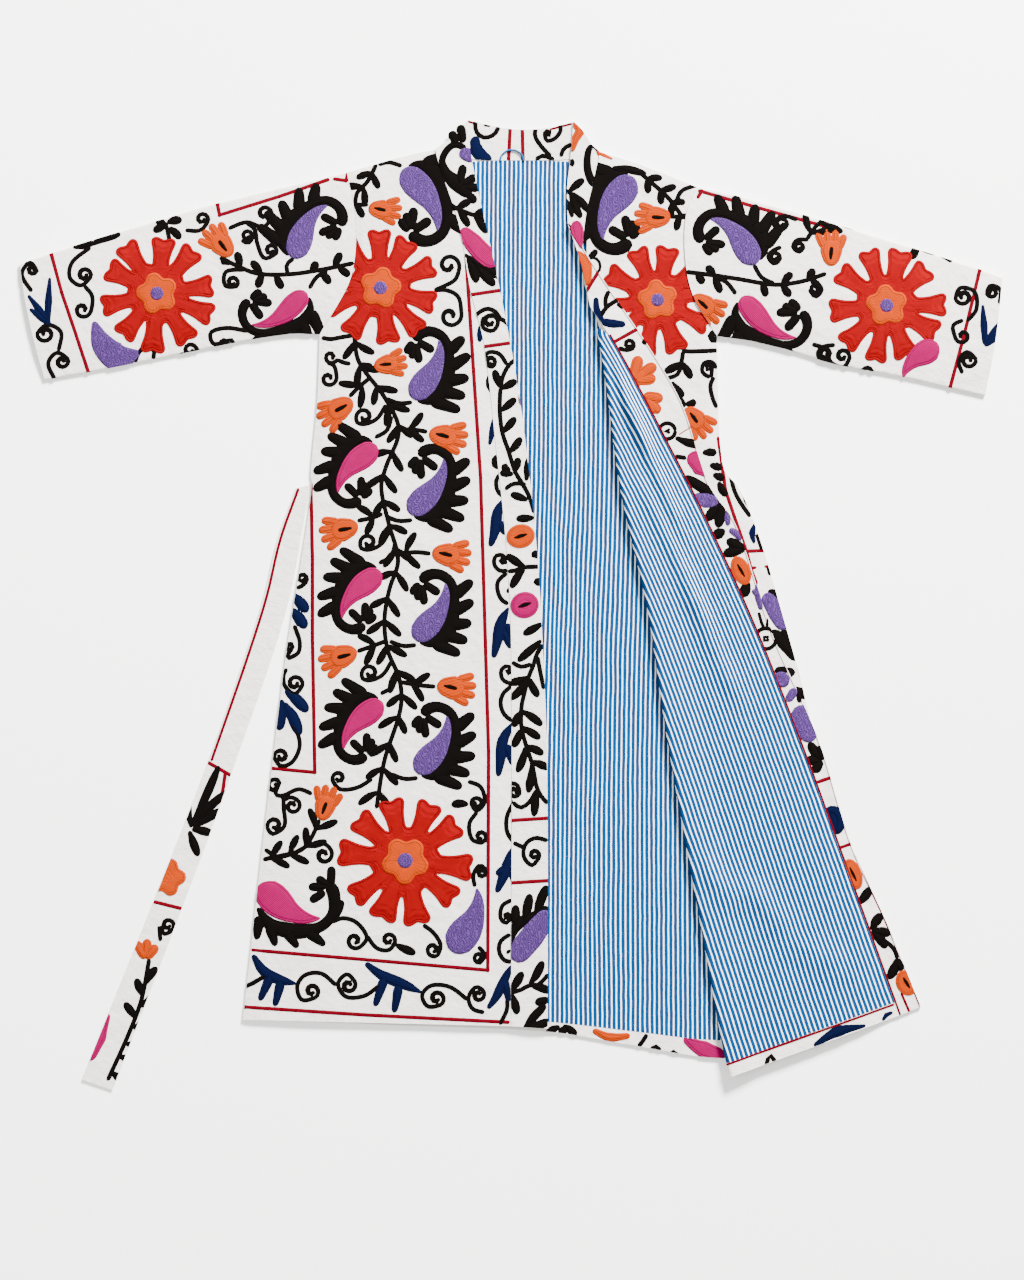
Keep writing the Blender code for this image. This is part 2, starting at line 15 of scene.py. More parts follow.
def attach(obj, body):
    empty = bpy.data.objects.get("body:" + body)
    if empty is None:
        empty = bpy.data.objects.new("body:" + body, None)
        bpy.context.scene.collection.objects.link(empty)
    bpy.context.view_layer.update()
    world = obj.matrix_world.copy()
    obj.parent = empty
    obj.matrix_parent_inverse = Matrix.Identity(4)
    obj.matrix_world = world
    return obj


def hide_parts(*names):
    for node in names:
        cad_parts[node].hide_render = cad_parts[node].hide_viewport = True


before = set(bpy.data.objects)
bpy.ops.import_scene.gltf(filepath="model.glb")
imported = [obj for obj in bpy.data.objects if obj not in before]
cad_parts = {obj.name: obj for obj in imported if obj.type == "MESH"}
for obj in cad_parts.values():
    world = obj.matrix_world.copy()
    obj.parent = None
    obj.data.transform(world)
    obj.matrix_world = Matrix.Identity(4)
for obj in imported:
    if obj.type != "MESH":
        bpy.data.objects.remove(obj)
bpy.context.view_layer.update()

bl_info = {
    "name": "Embroidered coat",
    "version": (1, 0, 0),
    "blender": (4, 5, 0),
    "location": "View3D > Sidebar > Coat",
    "description": "Builds the cloth, the lining and the embroidery of a coat laid flat",
    "category": "Add Mesh",
}

MM = 0.001

# Levels of the layers and the thickness of each cloth
SHELL = 1.8
LINING = 1.0
DOUBLED = 2.6
SEAM_GAP = 0.3
FRONT_EDGE = SHELL + SEAM_GAP
LINING_TOP = FRONT_EDGE + LINING
FRONT_BASE = LINING_TOP + 0.4
EDGE_REACH = 10.0
FRONT_LOFT = 1.0
LOFT_REACH = 90.0
UNDER_RELIEF = 0.7
UNDER_HEIGHT = 0.27
BACK_CENTRE = 8.0
SLEEVE_TOP = 4.4
SLEEVE_LOFT = 1.8
SLEEVE_LOFT_REACH = 45.0

# The roll of the turned front
ROLL_RADIUS_TOP = 1.2
ROLL_RADIUS_HEM = 1.9
ROLL_INSET = 5.0
ROLL_UNDER = 14.0
ROLL_RAISE = 1.5
ROLL_RAISE_TOP = 400.0
ROLL_RAISE_REACH = 50.0
ROLL_RAISE_WIDTH = 24.0
FLAP_GAP = 1.3
FLAP_SETTLE = 45.0
FLAP_OVERHANG = 6.0
FLAP_FALL = 48.0
HEM_FACING_SHARE = 0.019
FREE_SHARE_AT_SEAM = 0.13
BAND_TURN_LEVEL = 360.0

# Outlines of the panels: each row is x, y, from the top down or from left to right
COLLAR_TOP = 606.0
HEM_LEVEL = -526.0
SLEEVE_END = 614.0
SHOULDER_RIGHT = ((-205, 540), (-139, 559), (-95, 569))
NECK_CORNER_RIGHT = ((-95, 569), (-70, 588), (-54, COLLAR_TOP))
NECK_TOP = ((-54, COLLAR_TOP), (-20, 598), (11, 594), (46, 596), (78, 604))
NECK_SEAM = ((-95, 569), (-50, 557), (12, 555.5), (74, 557), (111, 566))
NECK_CORNER_LEFT = ((78, 604), (90, 592), (100, 576), (111, 566))
SHOULDER_LEFT = ((111, 566), (161, 550), (232, 522))
ARMHOLE_RIGHT = ((-205, 540), (-195, 490), (-194, 441), (-203, 400), (-239, 338))
ARMHOLE_LEFT = ((232, 522), (218, 485), (218, 425), (229, 382), (257, 336))
SIDE_RIGHT = ((-239, 338), (-242, 255), (-248, 190), (-250, 162), (-248.5, 151), (-258, 81),
              (-275, -21), (-286, -99), (-311, -306), (-335, -518))
SIDE_LEFT = ((257, 336), (259, 256), (265, 172), (286, 144), (309, 88), (334, 6), (368, -119),
             (405, -306), (424, -525))
HEM_RIGHT = ((-335, -518), (-164, -522), (0, HEM_LEVEL))
BAND_HEM_RIGHT = ((0.3, HEM_LEVEL), (46, -529))
HEM_BACK = ((-335, -518), (-164, -524), (46, -533), (146, -549), (261, -566), (350, -556), (424, -525))
HEM_FACING_TOP = ((-313, -500), (-164, -508), (46, -521), (146, -532), (261, -544), (350, -534),
                  (402, -507))
BAND_SEAM_RIGHT = ((-95, 569), (-90, 550), (-65, 474), (-51, 394), (-34, 326), (-20, 206), (-6, 70),
                   (0, -58), (0, HEM_LEVEL))
BAND_EDGE_RIGHT = ((-54, COLLAR_TOP), (-49, 556), (-14, 394), (11, 256), (30, 94), (38, -19), (45, -194),
                   (46, -529))
NECK_EDGE_LEFT = ((78, 604), (74, 556), (70, 519), (71, 475))
BAND_SEAM_LEFT = ((111, 566), (102, 524), (94, 488), (90, 445), (92, 400), (103, 360))
ROLL_START = ((71, 475), (86, 431), (99, 372))
ROLL_LINE = ((106, 344), (117, 281), (136, 145), (170, -6), (195, -169), (234, -386), (261, -535),
             (272, -589))
FACING_SEAM = ((122, 337), (148, 290), (194, 202), (240, 111), (304, -29), (368, -191), (410, -306),
               (485, -513))
FREE_EDGE = ((71, 475), (115, 406), (174, 319), (214, 249), (246, 151), (281, 99), (326, -36),
             (384, -169), (425, -300), (468, -394), (512, -502))
SLEEVE_TOP_RIGHT = ((-SLEEVE_END, 426), (-545, 449), (-449, 478), (-370, 501), (-205, 540))
SLEEVE_UNDER_RIGHT = ((-582, 281), (-526, 291), (-460, 304), (-286, 338), (-239, 338))
CUFF_RIGHT = ((-SLEEVE_END, 426), (-604, 366), (-591, 312), (-582, 281))
SLEEVE_TOP_LEFT = ((232, 522), (279, 512), (404, 476), (584, 420), (SLEEVE_END, 409))
SLEEVE_UNDER_LEFT = ((257, 336), (320, 326), (404, 301), (488, 285), (592, 261))
CUFF_LEFT = ((SLEEVE_END, 409), (605, 330), (592, 261))
BELT = (
    (-269, 146, -251.5, 150),
    (-292, 81, -263, 81),
    (-309, 10, -278, 5),
    (-334, -69, -300, -69),
    (-378, -195, -349, -209),
    (-416, -294, -380, -296),
    (-536, -593, -498, -606),
)
BODY_MARKS = (0.0, 0.2, 1.0)

# Folds and creases: start x, start y, finish x, finish y, width, rise
RIGHT_FRONT_FOLDS = (
    (-180, 430, -120, 250, 26, 0.5),
    (-215, 150, -120, 60, 24, 0.5),
    (-230, -60, -90, -180, 30, 0.6),
    (-250, -330, -60, -420, 34, 0.5),
)
LEFT_FRONT_FOLDS = (
    (205, 400, 240, 260, 22, 0.7),
    (225, 330, 255, 200, 18, 0.6),
)
SLEEVE_FOLDS = (
    (-250, 370, -330, 450, 24, 1.0),
    (-470, 330, -540, 420, 26, 0.8),
    (262, 360, 340, 440, 24, 1.0),
    (470, 310, 540, 400, 26, 0.8),
)
FLAP_FOLDS = (
    (112, 330, 182, 170, 8, 4.4),
    (128, 290, 226, 60, 9, 5.2),
    (150, 180, 262, -60, 10, 4.2),
    (196, 60, 300, -150, 12, 3.0),
    (214, -300, 300, -392, 18, 3.4),
    (280, -330, 352, -420, 16, 2.8),
    (330, -410, 440, -470, 18, 2.4),
)

LOOP_CENTRE = (1.0, 555.0)
LOOP_HALF_WIDTH = 14.5
LOOP_RISE = 13.5
LOOP_RADIUS = 1.1
STRIPE_PITCH = 5.75

THREADS = ("red", "orange", "pink", "lilac", "black", "navy", "crimson")


def smooth(value):
    """Ease values from 0 to 1."""
    value = np.clip(value, 0.0, 1.0)
    return value * value * (3.0 - 2.0 * value)


def curve(rows, steps=10):
    """Points of a smooth curve through every row."""
    rows = np.array([row[:2] for row in rows], float)
    ends = np.vstack([2.0 * rows[0] - rows[1], rows, 2.0 * rows[-1] - rows[-2]])
    spans = np.maximum(np.linalg.norm(np.diff(ends, axis=0), axis=1), 1e-6)
    t = np.linspace(0.0, 1.0, steps, endpoint=False)[:, None]
    points = []
    for i in range(1, len(ends) - 2):
        before, span, after = spans[i - 1:i + 2]
        start = (ends[i + 1] - ends[i - 1]) * span / (before + span)
        finish = (ends[i + 2] - ends[i]) * span / (after + span)
        points.append((2 * t**3 - 3 * t**2 + 1) * ends[i] + (t**3 - 2 * t**2 + t) * start
                      + (3 * t**2 - 2 * t**3) * ends[i + 1] + (t**3 - t**2) * finish)
    return np.vstack(points + [rows[-1:]])


class Edge:
    """A smooth edge of a panel through the rows of one or more outlines."""

    def __init__(self, *outlines, marks=None):
        stretches = [curve(outline) for outline in outlines]
        self.points = np.vstack(stretches)
        steps = np.linalg.norm(np.diff(self.points, axis=0), axis=1)
        self.lengths = np.concatenate(([0.0], np.cumsum(steps)))
        ends = np.cumsum([len(stretch) for stretch in stretches]) - 1
        self.corners = np.concatenate(([0.0], self.lengths[ends] / self.lengths[-1]))
        self.marks = self.corners if marks is None else marks

    def at(self, share):
        """Points at shares of the edge, whose corners lie at its marks."""
        goal = np.interp(share, self.marks, self.corners) * self.lengths[-1]
        return np.stack([np.interp(goal, self.lengths, self.points[:, axis]) for axis in (0, 1)], -1)

    def x_at(self, y):
        """The edge's x at a height, for an edge that runs downwards."""
        return np.interp(-np.asarray(y), -self.points[:, 1], self.points[:, 0])

    def y_at(self, x):
        """The edge's y at a place, for an edge that runs to the right."""
        return np.interp(x, self.points[:, 0], self.points[:, 1])


def moved(outline, step_x, step_y=0.0):
    return tuple((row[0] + step_x, row[1] + step_y) for row in outline)


def patch(left, right, top, bottom):
    """Points between four edges: left and right run down, top and bottom run right."""
    corners = (left.at(0.0), right.at(0.0), left.at(1.0), right.at(1.0))

    def point(u, v):
        a = np.asarray(u)[:, None]
        b = np.asarray(v)[:, None]
        ruled = left.at(v) * (1 - a) + right.at(v) * a + top.at(u) * (1 - b) + bottom.at(u) * b
        upper = corners[0] * (1 - a) + corners[1] * a
        lower = corners[2] * (1 - a) + corners[3] * a
        return ruled - upper * (1 - b) - lower * b

    return point


BODY_RIGHT = Edge(ARMHOLE_RIGHT, SIDE_RIGHT, marks=BODY_MARKS)
BODY_LEFT = Edge(ARMHOLE_LEFT, SIDE_LEFT, marks=BODY_MARKS)
BODY_TOP = Edge(SHOULDER_RIGHT, NECK_SEAM, SHOULDER_LEFT)
BAND_SEAM = Edge(BAND_SEAM_RIGHT)
BAND_EDGE = Edge(BAND_EDGE_RIGHT)
LEFT_INNER = Edge(BAND_SEAM_LEFT, ROLL_LINE)
ROLL = Edge(ROLL_LINE)
FLAP_SEAM = Edge(FACING_SEAM)
STRIPE_GUIDE = Edge(FACING_SEAM + ((520, -610),))
FREE = Edge(FREE_EDGE)
SIDE_OF_LEFT = Edge(SIDE_LEFT)


def fold_rise(folds, x, y):
    """Height that the soft ridges of a table add."""
    rise = 0.0
    for x0, y0, x1, y1, width, height in folds:
        run_x = x1 - x0
        run_y = y1 - y0
        length = math.hypot(run_x, run_y)
        along = ((x - x0) * run_x + (y - y0) * run_y) / length
        across = ((x - x0) * run_y - (y - y0) * run_x) / length
        ends = smooth(along / (0.3 * length)) * smooth((length - along) / (0.3 * length))
        rise = rise + height * ends * np.exp(-(across / width) ** 2)
    return rise


def rumple(x, y, height=0.5):
    """Uneven soft waves of cloth that has been laid by hand, never below zero."""
    wave = (np.sin(x / 17.0 + 1.3 * np.sin(y / 61.0)) * np.sin(y / 23.0 + 0.9 * np.sin(x / 43.0))
            + 0.7 * np.sin((x + 0.6 * y) / 29.0 + 1.1) + 0.5 * np.sin((0.8 * x - y) / 13.0 + 2.0))
    return height * 0.5 * (1.0 + wave / 2.2)


def edge_distance(x, y):
    """Distance from the sewn edges of the body: shoulders, armholes and side seams."""
    inward = np.minimum(x - BODY_RIGHT.x_at(y), BODY_LEFT.x_at(y) - x)
    return np.minimum(inward, BODY_TOP.y_at(x) - y)


def front_base(x, y):
    """Underside of a front, which comes down to the back at the sewn edges."""
    inside = edge_distance(x, y)
    return (FRONT_EDGE + (FRONT_BASE - FRONT_EDGE) * smooth(inside / EDGE_REACH)
            + FRONT_LOFT * smooth(inside / LOFT_REACH) + rumple(x, y) * smooth(inside / 30.0))


def band_base(x, y):
    """Underside of a front band, which lies clear of the neck band and the lining."""
    return np.maximum(FRONT_BASE, front_base(x, y))


def right_front_base(x, y):
    return front_base(x, y) + fold_rise(RIGHT_FRONT_FOLDS, x, y)


def left_front_base(x, y):
    """Underside of the left front, raised beside the roll for the lining that wraps round it."""
    from_roll = x - LEFT_INNER.x_at(y)
    raised = smooth((ROLL_RAISE_TOP - y) / ROLL_RAISE_REACH)
    raised = raised * (1.0 - smooth((from_roll - ROLL_RAISE_WIDTH) / (0.6 * ROLL_RAISE_REACH)))
    return front_base(x, y) + ROLL_RAISE * raised + fold_rise(LEFT_FRONT_FOLDS, x, y)


def flap_base(x, y, gap):
    """Underside of the turned front, which lies on the left front and falls to the floor beside it."""
    side = BODY_LEFT.x_at(y)
    fall = smooth((x - side - FLAP_OVERHANG) / FLAP_FALL)
    resting = left_front_base(np.minimum(x, side), y) + SHELL + gap
    from_roll = x - LEFT_INNER.x_at(y)
    ridges = fold_rise(FLAP_FOLDS, x, y) * smooth((from_roll - 1.6 * ROLL_INSET) / (3.0 * ROLL_INSET))
    return resting * (1.0 - fall) + (SEAM_GAP + rumple(x, y)) * fall + ridges


def facing_base(x, y):
    """Underside of the turned band, which lies on the face-up band near the neck."""
    band_top = FRONT_BASE + FRONT_LOFT + DOUBLED + 0.9
    resting = flap_base(x, y, FLAP_GAP)
    return np.where(y > BAND_TURN_LEVEL, np.maximum(resting, band_top), resting)


def sleeve_top(x, y, upper, under):
    """Upper face of a sleeve that lies as a flat tube."""
    reach = np.minimum(upper.y_at(x) - y, y - under.y_at(x))
    loft = SLEEVE_LOFT * smooth(reach / SLEEVE_LOFT_REACH) + rumple(x, y) * smooth(reach / 20.0)
    return SLEEVE_TOP + loft + fold_rise(SLEEVE_FOLDS, x, y) * smooth(reach / 12.0)


def flat(height):
    return lambda x, y: np.full(np.shape(x), height)


def link_nodes(tree, kind, inputs=(), **values):
    """Add a node, set its values and sockets, and return it."""
    made = tree.nodes.new(kind)
    for name, value in values.items():
        setattr(made, name, value)
    for name, value in dict(inputs).items():
        if isinstance(value, bpy.types.NodeSocket):
            tree.links.new(value, made.inputs[name])
        else:
            made.inputs[name].default_value = value
    return made


def maths(tree, operation, *values):
    return link_nodes(tree, "ShaderNodeMath", enumerate(values), operation=operation).outputs[0]


def mixed(tree, factor, first, second):
    """A colour between two colours, each a socket or a tuple."""
    made = link_nodes(tree, "ShaderNodeMix", data_type="RGBA")
    for index, value in ((0, factor), (6, first), (7, second)):
        if isinstance(value, bpy.types.NodeSocket):
            tree.links.new(value, made.inputs[index])
        else:
            made.inputs[index].default_value = value
    return made.outputs[2]


def new_finish(name, roughness, sheen=0.0):
    """A material with its node tree and its shader."""
    material = bpy.data.materials.new(name)
    material.use_nodes = True
    shader = material.node_tree.nodes["Principled BSDF"]
    shader.inputs["Roughness"].default_value = roughness
    shader.inputs["Sheen Weight"].default_value = sheen
    shader.inputs["Specular IOR Level"].default_value = 0.25
    return material, material.node_tree, shader


def millimetres(tree):
    """Object coordinates in millimetres."""
    place = link_nodes(tree, "ShaderNodeTexCoord").outputs["Object"]
    return link_nodes(tree, "ShaderNodeVectorMath", {0: place, "Scale": 1000.0}, operation="SCALE").outputs[0]


def woven_height(tree, place, pitch):
    """Height of a plain weave, from 0 to 1."""
    bands = []
    for direction in ("X", "Y"):
        wave = link_nodes(tree, "ShaderNodeTexWave", {"Vector": place, "Scale": 0.314 / pitch,
                                                      "Distortion": 0.6, "Detail": 1.0},
                          bands_direction=direction)
        bands.append(wave.outputs["Fac"])
    return maths(tree, "MULTIPLY", *bands)


def bump(tree, shader, height, depth):
    made = link_nodes(tree, "ShaderNodeBump", {"Height": height, "Distance": depth * MM, "Strength": 1.0})
    tree.links.new(made.outputs["Normal"], shader.inputs["Normal"])


def cotton_finish(name, colour, shade):
    """Heavy off-white cotton: a plain weave with slubs, and a soft unevenness of tone."""
    material, tree, shader = new_finish(name, 0.92, 0.12)
    place = millimetres(tree)
    tone = link_nodes(tree, "ShaderNodeTexNoise", {"Vector": place, "Scale": 0.022, "Detail": 3.0})
    slub = link_nodes(tree, "ShaderNodeTexNoise", {"Vector": place, "Scale": 0.9, "Detail": 2.0})
    weave = woven_height(tree, place, 0.9)
    broad = mixed(tree, tone.outputs["Fac"], (*shade, 1.0), (*colour, 1.0))
    fine = maths(tree, "MULTIPLY", slub.outputs["Fac"], 0.16)
    tree.links.new(mixed(tree, fine, broad, (*shade, 1.0)), shader.inputs["Base Color"])
    crumple = link_nodes(tree, "ShaderNodeTexNoise", {"Vector": place, "Scale": 0.06, "Detail": 4.0,
                                                      "Roughness": 0.6})
    height = maths(tree, "MULTIPLY_ADD", weave, 0.12, maths(tree, "MULTIPLY", crumple.outputs["Fac"], 2.4))
    height = maths(tree, "MULTIPLY_ADD", slub.outputs["Fac"], 0.1, height)
    bump(tree, shader, height, 1.0)
    return material


def striped_finish(name, blue, deep_blue, white, pitch):
    """Striped cotton lining; the stripe attribute counts millimetres across the stripes."""
    material, tree, shader = new_finish(name, 0.9)
    shader.inputs["Specular IOR Level"].default_value = 0.05
    place = millimetres(tree)
    across = link_nodes(tree, "ShaderNodeAttribute", attribute_name="stripe").outputs["Fac"]
    waver = link_nodes(tree, "ShaderNodeTexNoise", {"Vector": place, "Scale": 0.05, "Detail": 2.0})
    shifted = maths(tree, "MULTIPLY_ADD", waver.outputs["Fac"], 1.2, across)
    count = maths(tree, "DIVIDE", shifted, pitch)
    part = maths(tree, "PINGPONG", count, 0.5)
    edge = link_nodes(tree, "ShaderNodeMapRange", {"Value": part, "From Min": 0.345, "From Max": 0.385,
                                                   "To Min": 1.0, "To Max": 0.0},
                      interpolation_type="SMOOTHSTEP").outputs[0]
    fade = link_nodes(tree, "ShaderNodeTexNoise", {"Vector": place, "Scale": 0.11, "Detail": 3.0})
    dyed = mixed(tree, fade.outputs["Fac"], (*deep_blue, 1.0), (*blue, 1.0))
    tree.links.new(mixed(tree, edge, (*white, 1.0), dyed), shader.inputs["Base Color"])
    weave = woven_height(tree, place, 0.7)
    crumple = link_nodes(tree, "ShaderNodeTexNoise", {"Vector": place, "Scale": 0.045, "Detail": 4.0,
                                                      "Roughness": 0.6})
    height = maths(tree, "MULTIPLY_ADD", weave, 0.1, maths(tree, "MULTIPLY", crumple.outputs["Fac"], 2.0))
    bump(tree, shader, height, 1.0)
    return material


def chain_finish(name, colour, dark):
    """Chain stitch in wool: rows that follow the form, and a groove inside its edge, sunk in the bump and
    darkened with painted shade.
    """
    material, tree, shader = new_finish(name, 0.9)
    shader.inputs["Specular IOR Level"].default_value = 0.02
    place = millimetres(tree)
    stitch = link_nodes(tree, "ShaderNodeAttribute", attribute_name="stitch").outputs["Vector"]
    parts = link_nodes(tree, "ShaderNodeSeparateXYZ", {0: stitch}).outputs
    rows = maths(tree, "SINE", maths(tree, "MULTIPLY", parts[1], 3.4))
    links_along = maths(tree, "SINE", maths(tree, "MULTIPLY_ADD", parts[0], 2.6, rows))
    fuzz = link_nodes(tree, "ShaderNodeTexNoise", {"Vector": place, "Scale": 0.8, "Detail": 3.0})
    patchy = link_nodes(tree, "ShaderNodeTexNoise", {"Vector": place, "Scale": 0.09, "Detail": 3.0})
    groove = link_nodes(tree, "ShaderNodeMapRange",
                        {"Value": maths(tree, "ABSOLUTE", maths(tree, "SUBTRACT", parts[2], 3.6)),
                         "From Min": 0.35, "From Max": 1.1, "To Min": 1.0, "To Max": 0.0}).outputs[0]
    # Painted shade: the colour darkens in the groove inside the edge. Random patches and the stitch rows also
    # vary it.
    uneven = maths(tree, "MULTIPLY", patchy.outputs["Fac"], 0.45)
    darker = maths(tree, "MULTIPLY_ADD", groove, 0.35, uneven)
    darker = maths(tree, "MULTIPLY_ADD", rows, 0.06, darker)
    tree.links.new(mixed(tree, darker, (*colour, 1.0), (*dark, 1.0)), shader.inputs["Base Color"])
    height = maths(tree, "MULTIPLY_ADD", rows, 0.12, maths(tree, "MULTIPLY", links_along, 0.06))
    height = maths(tree, "MULTIPLY_ADD", fuzz.outputs["Fac"], 0.3, height)
    height = maths(tree, "SUBTRACT", height, maths(tree, "MULTIPLY", groove, 0.3))
    bump(tree, shader, height, 1.0)
    return material


def looped_finish(name, colour, dark):
    """Looped wool: short curled ridges that run every way, with painted shade darkening the valleys between
    them.
    """
    material, tree, shader = new_finish(name, 0.9)
    shader.inputs["Specular IOR Level"].default_value = 0.02
    place = millimetres(tree)
    bend = link_nodes(tree, "ShaderNodeTexNoise", {"Vector": place, "Scale": 0.12, "Detail": 1.0})
    turned = link_nodes(tree, "ShaderNodeVectorMath", {0: bend.outputs["Color"], 1: place}, operation="ADD")
    wave = link_nodes(tree, "ShaderNodeTexWave", {"Vector": turned.outputs[0], "Scale": 0.095,
                                                  "Distortion": 14.0, "Detail": 1.0,
                                                  "Detail Scale": 1.6})
    worm = wave.outputs["Fac"]
    # Painted shade: the colour moves to the dark tone in the valleys between the ridges.
    valley_shade = maths(tree, "MULTIPLY", maths(tree, "SUBTRACT", 1.0, worm), 0.9)
    tree.links.new(mixed(tree, valley_shade, (*colour, 1.0), (*dark, 1.0)), shader.inputs["Base Color"])
    bump(tree, shader, worm, 0.5)
    return material


def thread_materials():
    """The threads' materials in the order of THREADS, made once."""
    threads = bpy.context.scene.coat_threads
    made = []
    for name in THREADS:
        found = bpy.data.materials.get("thread_" + name)
        if found is None:
            colour = tuple(getattr(threads, name))
            # The darker tone serves random patches, and painted shade in the grooves and valleys.
            dark = tuple(0.45 * part for part in colour)
            build = looped_finish if name == "lilac" else chain_finish
            found = build("thread_" + name, colour, dark)
        made.append(found)
    return made


def cotton():
    cloth = bpy.context.scene.coat_cloth
    return bpy.data.materials.get("cotton") or cotton_finish("cotton", cloth.cotton, cloth.cotton_shade)


def striped():
    cloth = bpy.context.scene.coat_cloth
    return bpy.data.materials.get("striped_lining") or striped_finish(
        "striped_lining", cloth.blue, cloth.deep_blue, cloth.white, cloth.stripe_pitch / MM)


def add_grid(mesh, columns, rows):
    """Add a grid to a bmesh: its vertices, and the column and row of each."""
    verts = bmesh.ops.create_grid(mesh, x_segments=columns, y_segments=rows, size=0.5)["verts"]
    place = np.array([vertex.co[:2] for vertex in verts])
    column = np.rint((place[:, 0] + 0.5) * columns).astype(int)
    row = np.rint((0.5 - place[:, 1]) * rows).astype(int)
    return verts, column, row


def finish_object(name, mesh, materials):
    """Turn a bmesh in millimetres into a piece that rides on the coat."""
    bmesh.ops.scale(mesh, vec=(MM, MM, MM), verts=mesh.verts[:])
    data = bpy.data.meshes.new(name)
    mesh.to_mesh(data)
    mesh.free()
    data.shade_smooth()
    data.set_sharp_from_angle(angle=math.radians(50.0))
    for material in materials:
        data.materials.append(material)
    piece = bpy.data.objects.new(name, data)
    bpy.context.scene.collection.objects.link(piece)
    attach(piece, "root")
    return piece


class Wall:
    """Cloth under construction: grids of points in millimetres, each with its way through the cloth."""

    def __init__(self):
        self.mesh = bmesh.new()
        self.through = self.mesh.verts.layers.float_vector.new("through")
        self.stripe = self.mesh.verts.layers.float.new("stripe")

    def lay(self, columns, rows, place, stripe=None):
        """Lay one grid; place gives points and ways through the cloth for arrays of shares."""
        verts, column, row = add_grid(self.mesh, columns, rows)
        points, through = place(column / columns, row / rows)
        counts = np.zeros(len(verts)) if stripe is None else stripe(points, column / columns, row / rows)
        for vertex, point, way, count in zip(verts, points, through, counts):
            vertex.co = point
            vertex[self.through] = way
            vertex[self.stripe] = count

    def finish(self, name, material, body_slot, nodes, **sheet):
        mesh = self.mesh
        bmesh.ops.remove_doubles(mesh, verts=mesh.verts[:], dist=0.004)
        made = bmesh.ops.extrude_face_region(mesh, geom=mesh.faces[:])["geom"]
        for item in made:
            if isinstance(item, bmesh.types.BMVert):
                item.co += item[self.through]
        bmesh.ops.recalc_face_normals(mesh, faces=mesh.faces[:])
        piece = finish_object(name, mesh, [material])
        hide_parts(*nodes)
        return piece


def upwards(outline, base, thickness):
    """Place a panel on its outline with its underside at base."""

    def place(u, v):
        points = outline(u, v)
        x, y = points.T
        low = np.column_stack([x, y, base(x, y)])
        return low, np.tile((0.0, 0.0, thickness), (len(low), 1))

    return place


ROUND_SECTION = ((-1.0, -0.3), (-0.72, 0.72), (0.0, 1.0), (0.72, 0.72), (1.0, -0.3))
BROAD_SECTION = ((-1.0, -0.3), (-0.97, 0.5), (-0.88, 0.9), (-0.5, 0.96), (0.0, 1.0), (0.5, 0.96),
                 (0.88, 0.9), (0.97, 0.5), (1.0, -0.3))


def placed(points, place):
    """Points of a motif's own drawing at (x, y, size, turn in degrees, flip)."""
    x, y, size, turn, flip = place
    points = np.array(points, float)
    angle = math.radians(turn)
    px = points[:, 0] * size * flip
    py = points[:, 1] * size
    return np.column_stack([x + px * math.cos(angle) - py * math.sin(angle),
                            y + px * math.sin(angle) + py * math.cos(angle)])


def between(first, last, drawn, flip=1):
    """Where a motif lies when two points of its drawing lie at two given points."""
    start, finish = (np.array(point) * (flip, 1.0) for point in drawn)
    run = np.subtract(last, first)
    own = finish - start
    size = np.linalg.norm(run) / np.linalg.norm(own)
    turn = math.atan2(run[1], run[0]) - math.atan2(own[1], own[0])
    x = first[0] - size * (start[0] * math.cos(turn) - start[1] * math.sin(turn))
    y = first[1] - size * (start[0] * math.sin(turn) + start[1] * math.cos(turn))
    return x, y, size, math.degrees(turn), flip


# Drawing of a boteh: x, y, half width from its round end to its tip
BOTEH_BODY = ((-25, -29, 10), (-19, -22, 14.5), (-12, -13, 16.5), (-4, -3, 16), (3, 8, 13.6), (8, 20, 10.2),
              (10, 30, 7.4), (10, 38, 4.6), (9, 44, 1))
BOTEH_MANTLE = ((-18, -32, 2), (-8, -33, 6), (3, -29, 10), (13, -20, 12), (18, -7, 12), (20.5, 6, 10.5),
                (21.5, 19, 8.5), (20.5, 34, 7), (15, 46, 7), (5, 53, 7.4), (-6, 54.5, 7.6), (-16, 50.5, 8.4),
                (-22, 43, 8.5))
# Leaves of its mantle: root x, y, tip x, y
BOTEH_LEAVES = ((19, 27, 42, 49), (20, 8, 47, 25), (18, -8, 47, -3), (12, -20, 44, -27), (-2, -31, 35, -44))
# Fingers of the hand at the end of its hook: root x, y, tip x, y
BOTEH_HAND = ((-23, 42, -33, 27), (-21, 40, -15, 15), (-18, 42, 3, 30), (-22, 40, -25, 20))
BOTEH_SPAN = ((-27, -30), (9, 44))
# Drawing of a tulip that points to +X: x, y, half width
TULIP_BODY = ((-24, 0, 7), (-18, 0, 11), (-9, 0, 14), (1, 0, 15.5), (10, 0, 13.5))
TULIP_FINGERS = ((-1, 10, 19, 18), (3, 4, 23.5, 6), (3, -4, 23.5, -6.2), (-3, -10, 17, -17))
TULIP_SEED = ((-16, 1, 1.5), (-8, 0.5, 3.8), (1, -0.5, 3))
TULIP_SPAN = ((-23, 0), (24, 0))
# Petal of a rosette: share of the radius, half width as a share of the radius
PETAL = ((0.51, 0.152), (0.53, 0.142), (0.60, 0.142), (0.70, 0.153), (0.79, 0.174), (0.86, 0.195),
         (0.92, 0.206), (0.965, 0.192), (0.995, 0.155), (1.00, 0.105), (0.985, 0.055), (0.968, 0.018),
         (0.965, 0.0))


